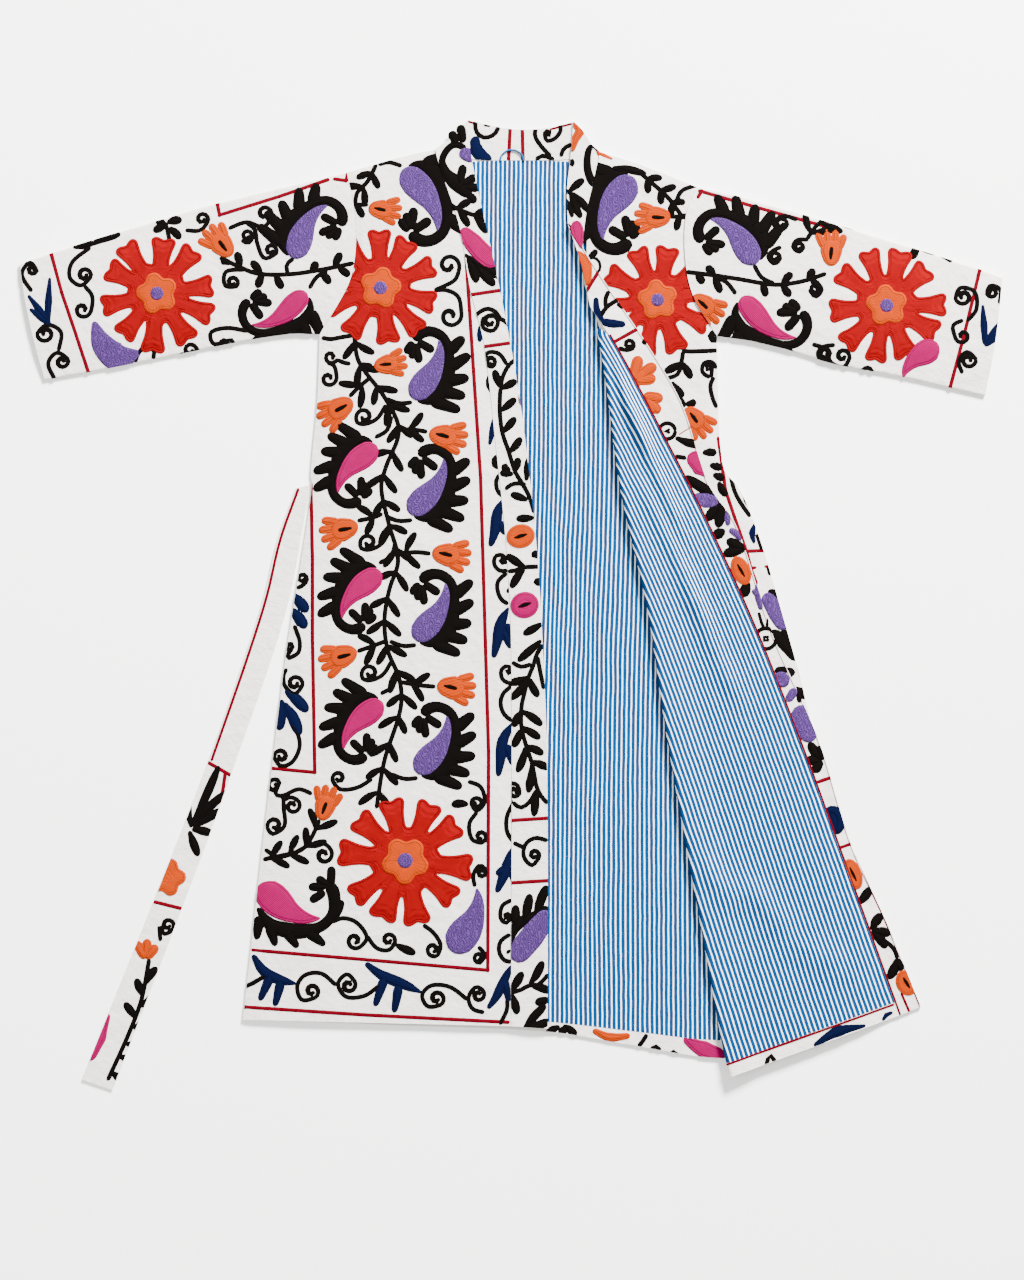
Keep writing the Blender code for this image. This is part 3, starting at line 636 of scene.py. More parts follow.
class Embroidery:
    """Raised embroidery of one panel, drawn flat in millimetres and then laid on the cloth."""

    BATCH = 40
    HEIGHT = 0.9

    def __init__(self, seed, height=HEIGHT):
        self.random = np.random.default_rng(seed)
        self.height = height
        self.whole = self.empty()
        self.batch = self.empty()
        self.waiting = 0

    @staticmethod
    def empty():
        mesh = bmesh.new()
        mesh.verts.layers.float_vector.new("stitch")
        mesh.verts.layers.float.new("thread")
        return mesh

    def gather(self):
        """Move the finished batch into the whole, so that each batch stays quick to work on."""
        data = bpy.data.meshes.new("batch")
        self.batch.to_mesh(data)
        self.batch.free()
        self.whole.from_mesh(data)
        bpy.data.meshes.remove(data)
        self.batch = self.empty()
        self.waiting = 0

    def add(self, columns, rows, points, stitch, thread):
        """Add one closed form: a grid of points (rows, columns, 3) whose seam and ends coincide."""
        stitch_layer = self.batch.verts.layers.float_vector["stitch"]
        thread_layer = self.batch.verts.layers.float["thread"]
        verts, column, row = add_grid(self.batch, columns, rows)
        number = float(THREADS.index(thread))
        for vertex, point, value in zip(verts, points[row, column], stitch[row, column]):
            vertex.co = point
            vertex[stitch_layer] = value
            vertex[thread_layer] = number
        bmesh.ops.remove_doubles(self.batch, verts=verts, dist=0.002)
        self.waiting += 1
        if self.waiting >= self.BATCH:
            self.gather()

    def stroke(self, path, widths, thread, height=1.0, spacing=4.5, section=ROUND_SECTION, ready=False):
        """A raised line or leaf along a path; widths are half widths at even shares of it."""
        dense = np.asarray(path, float) if ready else curve(path)
        steps = np.linalg.norm(np.diff(dense, axis=0), axis=1)
        dense = dense[np.concatenate(([True], steps > 1e-6))]
        lengths = np.concatenate(([0.0], np.cumsum(np.linalg.norm(np.diff(dense, axis=0), axis=1))))
        total = lengths[-1]
        widths = np.atleast_1d(np.asarray(widths, float))
        start = min(widths[0], 0.5 * total)
        finish = min(widths[-1], 0.5 * total)
        middle = max(int((total - start - finish) / spacing), 1)
        at = np.concatenate((start * np.array([0.0, 0.12, 0.45]),
                             np.linspace(start, total - finish, middle + 1),
                             total - finish * np.array([0.45, 0.12, 0.0])))
        share = np.linspace(0.0, 1.0, len(widths))
        half = np.interp(at / total, share, widths) if len(widths) > 1 else np.full(len(at), widths[0])
        rounded = (1.0 - np.clip(at / start, 0.0, 1.0)) ** 2
        rounded = rounded + (1.0 - np.clip((total - at) / finish, 0.0, 1.0)) ** 2
        half = half * np.sqrt(np.maximum(1.0 - rounded, 0.0))
        centre = np.stack([np.interp(at, lengths, dense[:, axis]) for axis in (0, 1)], -1)
        reach = 0.5 * spacing
        ahead = np.stack([np.interp(at + reach, lengths, dense[:, axis])
                          - np.interp(at - reach, lengths, dense[:, axis]) for axis in (0, 1)], -1)
        ahead /= np.maximum(np.linalg.norm(ahead, axis=1, keepdims=True), 1e-9)
        side = np.column_stack([-ahead[:, 1], ahead[:, 0]])
        ring = np.array(section + section[:1])
        across = ring[:, 0] * half[:, None]
        points = np.zeros((len(at), len(ring), 3))
        points[:, :, :2] = centre[:, None, :] + side[:, None, :] * across[:, :, None]
        body = np.sqrt(np.clip(half / max(half.max(), 1e-6) * 2.5, 0.0, 1.0))
        level = np.where(ring[:, 1] > 0.0, ring[:, 1] * self.height * height, -0.3)
        points[:, :, 2] = np.where(ring[:, 1] > 0.0, level * body[:, None], level)
        points[[0, -1], :, 2] = 0.0
        stitch = np.zeros_like(points)
        stitch[:, :, 0] = at[:, None]
        stitch[:, :, 1] = across
        stitch[:, :, 2] = half[:, None] - np.abs(across)
        self.add(len(ring) - 1, len(at) - 1, points, stitch, thread)

    def disc(self, outline, centre, thread, height=1.0, levels=((0.0, 0.5), (0.7, 0.92), (3.2, 1.0))):
        """A raised form within a closed outline round its centre: levels are inset and height."""
        outline = np.asarray(outline, float)
        ahead = np.roll(outline, -1, axis=0) - np.roll(outline, 1, axis=0)
        ahead /= np.maximum(np.linalg.norm(ahead, axis=1, keepdims=True), 1e-9)
        inward = np.column_stack([-ahead[:, 1], ahead[:, 0]])
        rings = [(outline, -0.3, 0.0)]
        for inset, share in levels:
            rings.append((outline + inward * inset, share * self.height * height, inset))
        inner = rings[-1][0]
        for share in (0.8, 0.5):
            rings.append((centre + (inner - centre) * share, self.height * height, 8.0))
        rings.append((np.tile(centre, (len(outline), 1)), self.height * height, 12.0))
        rings.insert(0, (np.tile(centre, (len(outline), 1)), -0.3, 12.0))
        columns = len(outline)
        points = np.zeros((len(rings), columns + 1, 3))
        stitch = np.zeros_like(points)
        for i, (ring, level, inset) in enumerate(rings):
            closed = np.vstack([ring, ring[:1]])
            points[i, :, :2] = closed
            points[i, :, 2] = level
            reach = closed - centre
            stitch[i, :, 0] = np.arctan2(reach[:, 1], reach[:, 0]) * 12.0
            stitch[i, :, 1] = inset
            stitch[i, :, 2] = inset
        self.add(columns, len(rings) - 1, points, stitch, thread)

    def leaf(self, root, tip, thread="black", half=5.0, height=0.95):
        """An almond leaf, widest beyond its middle."""
        root = np.asarray(root, float)
        tip = np.asarray(tip, float)
        run = tip - root
        bow = np.array([-run[1], run[0]]) * self.random.uniform(-0.06, 0.06)
        half = 1.32 * half
        self.stroke([root, root + 0.5 * run + bow, tip + 0.14 * run],
                    (0.42 * half, 0.66 * half, 0.94 * half, half, 0.9 * half, 0.5 * half), thread, height)

    def finger(self, root, tip, thread, half, height=0.93):
        """A rounded lobe that starts within a larger form."""
        self.stroke([root, tip], (half, 1.1 * half, 1.15 * half, 1.1 * half), thread, height)

    def drop(self, path, widths, thread):
        """A broad filled drop along a path."""
        self.stroke(path, widths, thread, 1.15, section=BROAD_SECTION)

    def leaves(self, pairs, *sizes, **looks):
        """A leaf for each pair of root and tip."""
        for root, tip in pairs:
            self.leaf(root, tip, *sizes, **looks)

    def fingers(self, pairs, thread, half):
        """A finger for each pair of root and tip."""
        for root, tip in pairs:
            self.finger(root, tip, thread, half)

    def stem(self, *points, thread="black", half=3.3):
        self.stroke(points, (half,), thread, 0.9, spacing=5.0)

    def line(self, *points, thread="crimson", half=2.8, spacing=12.0):
        """A straight-run line of stitching, whose runs overlap where they meet."""
        for a, b in zip(np.array(points, float), np.array(points[1:], float)):
            past = (b - a) * half / np.linalg.norm(b - a)
            self.stroke(np.linspace(a - past, b + past, 3), (half,), thread, 0.55, spacing=spacing)

    def scroll(self, centre, *tail, half=3.2, turns=1.2):
        """A spiral that opens out into its tail."""
        centre = np.asarray(centre, float)
        reach = np.asarray(tail[0], float) - centre
        radius = np.linalg.norm(reach)
        last = math.atan2(reach[1], reach[0])
        onward = np.asarray(tail[1], float) - tail[0] if len(tail) > 1 else (-reach[1], reach[0])
        hand = 1.0 if reach[0] * onward[1] - reach[1] * onward[0] > 0.0 else -1.0
        t = np.linspace(0.0, 1.0, 26)
        angle = last - hand * 2.0 * math.pi * turns * (1.0 - t)
        away = radius * (0.12 + 0.88 * t)
        spiral = centre + np.column_stack([np.cos(angle), np.sin(angle)]) * away[:, None]
        path = spiral
        if len(tail) > 1:
            path = np.vstack([spiral, curve([spiral[-3], *tail])[11:]])
        self.stroke(path, (1.5 * half, 1.15 * half) + (half,) * 6, "black", 0.9, spacing=3.6, ready=True)

    def vine(self, points, first=8.0, pitch=31.0, spread=46.0, length=24.0, last=0.0):
        """A stem with pairs of leaves."""
        dense = curve(points)
        lengths = np.concatenate(([0.0], np.cumsum(np.linalg.norm(np.diff(dense, axis=0), axis=1))))
        self.stroke(dense, (3.3,), "black", 0.9, spacing=5.0, ready=True)
        at = first
        while at < lengths[-1] - last:
            here = np.array([np.interp(at, lengths, dense[:, axis]) for axis in (0, 1)])
            ahead = np.array([np.interp(at + 3.0, lengths, dense[:, axis]) for axis in (0, 1)]) - here
            heading = math.atan2(ahead[1], ahead[0])
            for side in (-1.0, 1.0):
                angle = heading + side * math.radians(spread + self.random.uniform(-9.0, 9.0))
                reach = length * self.random.uniform(0.85, 1.12)
                tip = here + reach * np.array([math.cos(angle), math.sin(angle)])
                self.leaf(here, tip, half=4.3)
            at += pitch * self.random.uniform(0.88, 1.12)

    def boteh(self, x, y, size, turn, flip=1, thread="lilac", mantle=True, slim=1.0):
        """A curved drop; its mantle of leaves hooks over the tip and ends in a small hand."""
        place = (x, y, size, turn, flip)
        if mantle:
            rows = placed(BOTEH_MANTLE, place)
            widths = [row[2] * size * slim for row in BOTEH_MANTLE]
            self.stroke(rows, widths, "black", 0.9, spacing=5.0)
            for x0, y0, x1, y1 in BOTEH_LEAVES:
                longer = self.random.uniform(0.94, 1.06)
                root, tip = placed(((x0, y0), (x0 + (x1 - x0) * longer, y0 + (y1 - y0) * longer)), place)
                self.stroke([root, tip], [part * size for part in (9.5, 9.4, 8.6, 7.6, 5.6)], "black", 0.88)
            for x0, y0, x1, y1 in BOTEH_HAND:
                root, tip = placed(((x0, y0), (x1, y1)), place)
                self.finger(root, tip, "black", 5.6 * size)
        rows = placed(BOTEH_BODY, place)
        self.stroke(rows, [row[2] * size * slim for row in BOTEH_BODY], thread, 1.15, spacing=4.0,
                    section=BROAD_SECTION)

    def tulip(self, x, y, size, turn, flip=1, thread="orange"):
        """A cup with four fingers and a dark seed."""
        place = (x, y, size, turn, flip)
        self.stroke(placed(TULIP_BODY, place), [row[2] * size for row in TULIP_BODY], thread, 1.05,
                    spacing=4.0, section=BROAD_SECTION)
        for x0, y0, x1, y1 in TULIP_FINGERS:
            root, tip = placed(((x0, y0), (x1, y1)), place)
            self.finger(root, tip, thread, 5.0 * size, 1.0)
        self.stroke(placed(TULIP_SEED, place), [row[2] * size for row in TULIP_SEED], "black", 1.5)

    def lobed(self, x, y, radius, lobes, depth, turn, thread, height):
        """A flower of round lobes."""
        angle = np.linspace(0.0, 2.0 * math.pi, lobes * 12, endpoint=False)
        away = radius * (1.0 - depth * (0.5 - 0.5 * np.cos(lobes * (angle - math.radians(turn)))) ** 1.6)
        outline = np.column_stack([x + away * np.cos(angle), y + away * np.sin(angle)])
        self.disc(outline, np.array([x, y], float), thread, height)

    def oval(self, centre, length, width, turn, thread, seed=True):
        """An oval flower, half its length and width given, with a dark seed."""
        angle = np.linspace(0.0, 2.0 * math.pi, 32, endpoint=False)
        place = (*centre, 1.0, turn, 1)
        outline = placed(np.column_stack([length * np.cos(angle), width * np.sin(angle)]), place)
        self.disc(outline, np.array(centre, float), thread, 1.15, ((0.0, 0.5), (0.7, 0.95), (2.5, 1.0)))
        if seed:
            ends = placed(((-0.5 * length, -1.0), (0.0, 0.0), (0.5 * length, 1.0)), place)
            self.stroke(ends, (1.2, 0.3 * width, 1.2), "black", 1.55)

    def target(self, centre, radius, inner):
        """A ring round a dark dot with a pale eye."""
        for reach, half in ((radius, 3.0), (0.5 * inner, 2.6)):
            angle = np.linspace(0.0, 2.0 * math.pi + 0.12, 30)
            ring = np.column_stack([centre[0] + reach * np.cos(angle), centre[1] + reach * np.sin(angle)])
            self.stroke(ring, (half,), "black", 0.9, spacing=3.6, ready=True)

    def rosette(self, x, y, radius, turn=0.0, petals=10):
        """A large flower of notched petals round an orange flower and a lilac eye."""
        centre = np.array([x, y], float)
        pitch = 2.0 * math.pi / petals
        headings = np.arange(petals) * pitch + math.radians(turn) + self.random.uniform(-0.07, 0.07, petals)
        outline = []
        half = np.array(PETAL)
        for heading in headings:
            size = radius * self.random.uniform(0.95, 1.03)
            wide = self.random.uniform(0.93, 1.07)
            along = np.concatenate((half[:, 0], half[-2::-1, 0])) * size
            across = np.concatenate((-half[:, 1], half[-2::-1, 1])) * radius * wide
            run = np.array([math.cos(heading), math.sin(heading)])
            side = np.array([-run[1], run[0]])
            outline.append(centre + along[:, None] * run + across[:, None] * side)
        closed = np.vstack(outline + [outline[0][:1]])
        rounded = curve(closed, 2)[:-1]
        self.disc(rounded, centre, "red", 1.0, ((0.0, 0.5), (0.8, 0.95), (3.2, 1.0), (3.9, 0.72), (4.6, 1.0)))
        self.lobed(x, y, 0.36 * radius, 5, 0.22, turn + 20.0, "orange", 1.9)
        self.lobed(x, y, 0.12 * radius, 6, 0.03, 0.0, "lilac", 2.5)

    def arrow_leaf(self, spine, *fingers, half=8.0):
        """A navy leaf: a curved spine that swells in its middle, and fingers off one side."""
        self.stroke(spine, (1.4, 0.8 * half, half, half, 0.75 * half, 0.45 * half), "navy", 1.0)
        for root, tip in fingers:
            self.stroke([root, tip], (0.9 * half, 0.85 * half, 0.7 * half, 0.5 * half), "navy", 0.95)

    def mirror(self, centre):
        """Turn the drawing over about a line that runs up and down."""
        if self.waiting:
            self.gather()
        bmesh.ops.transform(self.whole, matrix=Matrix(((-1, 0, 0, 2 * centre), (0, 1, 0, 0), (0, 0, 1, 0),
                                                       (0, 0, 0, 1))), verts=self.whole.verts[:])

    def clip(self, across=None, edge=None, keep=1.0):
        """Cut away what lies beyond an edge: across is "x" for an edge that runs down, else "y"."""
        if self.waiting:
            self.gather()
        mesh = self.whole
        axis, other = (0, 1) if across == "x" else (1, 0)
        measure = edge.x_at if across == "x" else edge.y_at
        verts = mesh.verts[:]
        shift = measure(np.array([vertex.co[other] for vertex in verts]))
        for vertex, step in zip(verts, shift):
            vertex.co[axis] -= step
        normal = [0.0, 0.0, 0.0]
        normal[axis] = keep
        bmesh.ops.bisect_plane(mesh, geom=mesh.verts[:] + mesh.edges[:] + mesh.faces[:], dist=0.001,
                               plane_co=(0.0, 0.0, 0.0), plane_no=normal, clear_inner=True)
        border = [edge for edge in mesh.edges if edge.is_boundary]
        if border:
            bmesh.ops.holes_fill(mesh, edges=border, sides=0)
        verts = mesh.verts[:]
        shift = measure(np.array([vertex.co[other] for vertex in verts]))
        for vertex, step in zip(verts, shift):
            vertex.co[axis] += step

    def finish(self, name, top, body_slot="shell", upward=1.0):
        """Lay the drawing on the cloth's face and make it a piece."""
        if self.waiting:
            self.gather()
        self.batch.free()
        mesh = self.whole
        place = np.array([vertex.co[:] for vertex in mesh.verts])
        level = top(place[:, 0], place[:, 1]) + upward * place[:, 2]
        for vertex, height in zip(mesh.verts, level):
            vertex.co.z = height
        bmesh.ops.recalc_face_normals(mesh, faces=mesh.faces[:])
        thread = mesh.verts.layers.float["thread"]
        for face in mesh.faces:
            face.material_index = round(face.verts[0][thread])
        return finish_object(name, mesh, thread_materials())


def add_back():
    """The back, with the coat's whole outline, a little above the surface for its own stitching."""
    outline = patch(BODY_RIGHT, BODY_LEFT, BODY_TOP, Edge(HEM_BACK))
    wall = Wall()
    wall.lay(60, 100, upwards(outline, flat(UNDER_RELIEF), SHELL - UNDER_RELIEF))
    return wall.finish("back_cloth", cotton(), "shell", ["back"], flat=(0.80, 1.14), area=0.62,
                       rests_on=["floor"])


def lining_mask(x, y):
    """Where the back lining shows between the right band and the roll."""
    left = BAND_EDGE.x_at(y)
    right = np.interp(-y, -LEFT_INNER.points[:, 1], LEFT_INNER.points[:, 0])
    return smooth((x - left - 6.0) / 26.0) * smooth((right - x - 10.0) / 26.0) * smooth((548.0 - y) / 30.0)


LINING_CREASES = (
    (40, 150, 150, -120, 20, 1.0),
    (20, 60, 118, -190, 16, 0.8),
    (60, 420, 84, 180, 26, 0.6),
    (90, -200, 130, -480, 24, 0.9),
    (60, -260, 84, -520, 18, 0.6),
    (8, 420, 30, 300, 14, 0.5),
)


def lining_base(x, y):
    raised = rumple(x, y, 0.35) + fold_rise(LINING_CREASES, x, y)
    return FRONT_EDGE + raised * lining_mask(x, y)


def lining_stripes(points, column, row):
    """Upright stripes that spread a little towards the hem and lean at the waist."""
    x, y, z = points.T
    lean = 9.0 * smooth((y + 250.0) / 500.0)
    return (x - 120.0) * (1.0 + 0.00006 * y) - lean + 1.6 * (z - FRONT_EDGE) + 600.0


def add_back_lining():
    inset = 22.0
    rise = 18.0 + SEAM_GAP
    right = Edge(moved(ARMHOLE_RIGHT[:-1], inset, -rise) + moved(SIDE_RIGHT[:1], inset)
                 + moved(SIDE_RIGHT[1:], inset, rise))
    left = Edge(moved(ARMHOLE_LEFT[:-1], -inset, -rise) + moved(SIDE_LEFT[:1], -inset)
                + moved(SIDE_LEFT[1:], -inset, rise))
    top = Edge((tuple(right.at(0.0)), (-100, 545), (-56, 553.5), (80, 553.5), (114, 545),
                tuple(left.at(0.0))))
    outline = patch(right, left, top, Edge(moved(HEM_FACING_TOP, 0.0, SEAM_GAP)))
    wall = Wall()
    wall.lay(90, 150, upwards(outline, lining_base, LINING),
             lining_stripes)
    return wall.finish("back_lining_cloth", striped(), "lining", ["back_lining"], flat=(0.72, 1.07),
                       area=0.54, rests_on=["back_cloth"])


def add_right_front():
    outline = patch(BODY_RIGHT, BAND_SEAM, Edge(SHOULDER_RIGHT), Edge(HEM_RIGHT))
    wall = Wall()
    wall.lay(52, 200, upwards(outline, right_front_base, SHELL))
    return wall.finish("front_right_cloth", cotton(), "shell", ["front_right"], flat=(0.36, 1.12),
                       area=0.28, rests_on=["back_cloth"])


def add_right_band():
    seam = Edge(moved(BAND_SEAM_RIGHT, SEAM_GAP))
    corner = Edge(moved(NECK_CORNER_RIGHT[:1], SEAM_GAP) + NECK_CORNER_RIGHT[1:])
    outline = patch(seam, BAND_EDGE, corner, Edge(BAND_HEM_RIGHT))
    wall = Wall()
    wall.lay(12, 200, upwards(outline, band_base, DOUBLED))
    return wall.finish("band_right_cloth", cotton(), "border", ["band_right"], flat=(0.06, 1.14),
                       area=0.052, rests_on=["back_cloth"])


ROLL_ARC = 10
FLAP_COLUMNS = 44


def roll_sections(share, column):
    """Points and ways out of the rolled front at rows' shares and whole columns round the roll."""
    fold = ROLL.at(share)
    ahead = ROLL.at(np.minimum(share + 0.01, 1.0)) - ROLL.at(np.maximum(share - 0.01, 0.0))
    outward = np.column_stack([ahead[:, 1], -ahead[:, 0]])
    outward /= np.linalg.norm(outward, axis=1, keepdims=True)
    outward *= np.where(outward[:, :1] > 0.0, -1.0, 1.0)
    centre = fold - outward * ROLL_INSET
    radius = ROLL_RADIUS_TOP + (ROLL_RADIUS_HEM - ROLL_RADIUS_TOP) * smooth(share * 3.0)
    top = left_front_base(centre[:, 0], centre[:, 1]) + SHELL
    angle = math.pi * np.clip(column / ROLL_ARC, 0.0, 1.0)
    radial = np.column_stack([outward * np.sin(angle)[:, None], -np.cos(angle)])
    middle = np.column_stack([centre, top + radius])
    rolled = middle + radial * radius[:, None]
    over = np.clip((column - ROLL_ARC) / FLAP_COLUMNS, 0.0, 1.0)[:, None]
    place = centre + (FLAP_SEAM.at(share) - centre) * over
    settle = smooth(np.linalg.norm(place - centre, axis=1) / FLAP_SETTLE)
    gap = 2.0 * radius * (1.0 - settle) + FLAP_GAP * settle
    turned = np.column_stack([place, flap_base(place[:, 0], place[:, 1], gap)])
    on_flap = (column > ROLL_ARC)[:, None]
    return np.where(on_flap, turned, rolled), np.where(on_flap, (0.0, 0.0, 1.0), radial)


def add_left_front():
    """The left front: face up from the side seam to the roll, then turned over to the facing seam."""
    wall = Wall()
    start = roll_sections(np.zeros(1), np.zeros(1))[0][0, :2]
    upper = patch(Edge(BAND_SEAM_LEFT), Edge(ARMHOLE_LEFT), Edge(SHOULDER_LEFT),
                  Edge((tuple(start), ARMHOLE_LEFT[-1])))

    def face_up(points):
        x, y = points.T
        raised = np.column_stack([x, y, left_front_base(x, y) + SHELL])
        return raised, np.tile((0.0, 0.0, -SHELL), (len(points), 1))

    def lower(u, v):
        inner = roll_sections(v, np.zeros(len(v)))[0][:, :2]
        return face_up(inner + (SIDE_OF_LEFT.at(v) - inner) * u[:, None])

    def turned(u, v):
        points, radial = roll_sections(v, u * (ROLL_ARC + FLAP_COLUMNS))
        return points, radial * SHELL

    wall.lay(28, 44, lambda u, v: face_up(upper(u, v)))
    wall.lay(28, 150, lower)
    wall.lay(ROLL_ARC + FLAP_COLUMNS, 150, turned)
    return wall.finish("front_left_cloth", cotton(), "shell", ["front_left"], flat=(0.47, 1.12),
                       area=0.30, rests_on=["back_cloth"])


def flap_stripes(points, column, row):
    """Stripes that follow the facing seam and spread a little towards the hem."""
    x, y, _ = points.T
    bend = 0.45 * fold_rise(FLAP_FOLDS, x, y) + 0.9 * rumple(x, y)
    return (STRIPE_GUIDE.x_at(y) - x) * 0.95 * (1.06 + 0.00018 * y) + bend + 200.0


def add_left_lining():
    """The striped lining on the outside of the rolled front."""
    wall = Wall()
    columns = ROLL_ARC + FLAP_COLUMNS
    last = 1.0 - HEM_FACING_SHARE

    def place(u, v):
        whole = u * (columns + 1) - 1.0
        points, radial = roll_sections(v * last, np.maximum(whole, 0.0))
        points[:, 0] += np.where(whole < -0.5, ROLL_UNDER, 0.0)
        return points + radial * (SHELL + SEAM_GAP), radial * LINING

    wall.lay(columns + 1, 190, place, flap_stripes)
    return wall.finish("lining_front_left_cloth", striped(), "lining", ["lining_front_left"],
                       flat=(0.24, 0.96), area=0.145, rests_on=["front_left_cloth"])


def add_left_hem_facing():
    wall = Wall()
    columns = ROLL_ARC + FLAP_COLUMNS
    first = 1.0 - HEM_FACING_SHARE + SEAM_GAP / 950.0

    def place(u, v):
        points, radial = roll_sections(first + (1.0 - first) * v, u * columns)
        return points + radial * (SHELL + SEAM_GAP), radial * LINING

    wall.lay(columns, 6, place)
    return wall.finish("hem_facing_left_cloth", cotton(), "border", ["hem_facing_left"],
                       flat=(0.24, 0.02), area=0.0045, rests_on=["front_left_cloth"])


def add_back_hem_facing():
    right = Edge((HEM_FACING_TOP[0], (-313, HEM_BACK[0][1])))
    left = Edge((HEM_FACING_TOP[-1], (402, -535)))
    bottom = Edge((tuple(right.at(1.0)),) + HEM_BACK[1:-1] + (tuple(left.at(1.0)),))
    outline = patch(right, left, Edge(HEM_FACING_TOP), bottom)
    wall = Wall()
    wall.lay(110, 4, upwards(outline, flat(FRONT_EDGE), LINING))
    return wall.finish("hem_facing_back_cloth", cotton(), "border", ["hem_facing_back"],
                       flat=(0.72, 0.03), area=0.0135, rests_on=["back_cloth"])


def add_neck_band():
    outline = patch(Edge(NECK_CORNER_RIGHT[::-1]), Edge(NECK_CORNER_LEFT), Edge(NECK_TOP),
                    Edge(moved(NECK_SEAM, 0.0, SEAM_GAP)))
    wall = Wall()
    wall.lay(40, 10, upwards(outline, flat(UNDER_RELIEF), DOUBLED - UNDER_RELIEF))
    return wall.finish("neck_band_cloth", cotton(), "border", ["neck_band"], flat=(0.21, 0.05),
                       area=0.0065, rests_on=["floor"])


def add_left_band():
    tip = ((92 - SEAM_GAP, 400), (101, 372))
    outline = patch(Edge(NECK_EDGE_LEFT, ROLL_START), Edge(moved(BAND_SEAM_LEFT[:-1], -SEAM_GAP), tip),
                    Edge(NECK_CORNER_LEFT[:-1] + moved(NECK_CORNER_LEFT[-1:], -SEAM_GAP)),
                    Edge((ROLL_START[-1], tip[-1])))
    wall = Wall()
    wall.lay(8, 50, upwards(outline, band_base, DOUBLED))
    return wall.finish("band_left_cloth", cotton(), "border", ["band_left"], flat=(0.05, 0.24),
                       area=0.0055, rests_on=["front_left_cloth"])


def facing_row_edges(v):
    """Ends of the facing's rows: the first fifth runs down the turn, the rest down the seam."""
    turn = np.clip(v / 0.13, 0.0, 1.0)
    rest = np.clip((v - 0.14) / 0.86, 0.0, 1.0)
    on_turn = (v < 0.135)[:, None]
    inner = np.where(on_turn, Edge(ROLL_START).at(turn), Edge(moved(FACING_SEAM, SEAM_GAP)).at(rest))
    outer = np.where(on_turn, FREE.at(turn * FREE_SHARE_AT_SEAM * 0.9),
                     FREE.at(FREE_SHARE_AT_SEAM + (1.0 - FREE_SHARE_AT_SEAM) * rest))
    return inner, outer


def add_left_facing():
    def outline(u, v):
        inner, outer = facing_row_edges(v)
        return inner + (outer - inner) * u[:, None]

    wall = Wall()
    wall.lay(8, 200, upwards(outline, facing_base, DOUBLED + SEAM_GAP))
    return wall.finish("facing_left_cloth", cotton(), "border", ["facing_left"], flat=(0.06, 1.1),
                       area=0.03, rests_on=["front_left_cloth"])


def sleeve_edges(side):
    if side == "right":
        return (Edge(CUFF_RIGHT), Edge(moved(ARMHOLE_RIGHT, -SEAM_GAP)),
                Edge(SLEEVE_TOP_RIGHT[:-1] + moved(ARMHOLE_RIGHT[:1], -SEAM_GAP)),
                Edge(SLEEVE_UNDER_RIGHT[:-1] + moved(ARMHOLE_RIGHT[-1:], -SEAM_GAP)))
    return (Edge(moved(ARMHOLE_LEFT, SEAM_GAP)), Edge(CUFF_LEFT),
            Edge(moved(ARMHOLE_LEFT[:1], SEAM_GAP) + SLEEVE_TOP_LEFT[1:]),
            Edge(moved(ARMHOLE_LEFT[-1:], SEAM_GAP) + SLEEVE_UNDER_LEFT[1:]))


def add_sleeve(side):
    """A sleeve as a flat tube, open at the cuff and at the armhole."""
    left, right, upper, under = sleeve_edges(side)
    outline = patch(left, right, upper, under)
    radius = 0.5 * (SLEEVE_TOP - UNDER_RELIEF)
    wall_depth = SHELL - UNDER_RELIEF
    lower_steps = 14
    arc_steps = 6
    upper_steps = 34
    lower_v = np.linspace(0.02, 0.98, lower_steps + 1)
    upper_v = np.linspace(0.98, 0.02, upper_steps + 1)
    arc = np.linspace(0.0, math.pi, arc_steps + 2)[1:-1]
    ring = ([(v, -1.0, 0.0) for v in lower_v] + [(1.0, 0.0, angle) for angle in arc]
            + [(v, 1.0, 0.0) for v in upper_v] + [(0.0, 0.0, math.pi - angle) for angle in arc])
    ring = np.array(ring + ring[:1])

    def place(u, v):
        column = np.rint(u * (len(ring) - 1)).astype(int)
        along = v
        share, face, angle = ring[column].T
        spot = outline(along, share)
        near = outline(along, np.clip(share, 0.1, 0.9))
        inward = near - spot
        inward /= np.maximum(np.linalg.norm(inward, axis=1, keepdims=True), 1e-9)
        x, y = spot.T
        level = np.where(face < 0.0, UNDER_RELIEF, sleeve_top(x, y, upper, under))
        plain = np.column_stack([spot, level])
        radial = np.column_stack([-inward * np.sin(angle)[:, None], -np.cos(angle)])
        middle = np.column_stack([spot + inward * radius, np.full(len(u), UNDER_RELIEF + radius)])
        on_arc = (face == 0.0)[:, None]
        points = np.where(on_arc, middle + radial * radius, plain)
        ways = np.where(on_arc, -radial, np.column_stack([np.zeros((len(u), 2)), -face]))
        return points, ways * wall_depth

    wall = Wall()
    wall.lay(len(ring) - 1, 90, place)
    return wall.finish(f"sleeve_{side}_cloth", cotton(), "shell", [f"sleeve_{side}"], flat=(0.40, 0.40),
                       area=0.13, rests_on=["floor"])


def add_belt():
    left = Edge([row[:2] for row in BELT])
    right = Edge([row[2:] for row in BELT])

    def outline(u, v):
        return left.at(v) + (right.at(v) - left.at(v)) * u[:, None]

    wall = Wall()
    wall.lay(6, 140, upwards(outline, flat(UNDER_RELIEF), DOUBLED - UNDER_RELIEF))
    return wall.finish("belt_cloth", cotton(), "border", ["belt"], flat=(0.04, 0.80), area=0.026,
                       rests_on=["floor"])


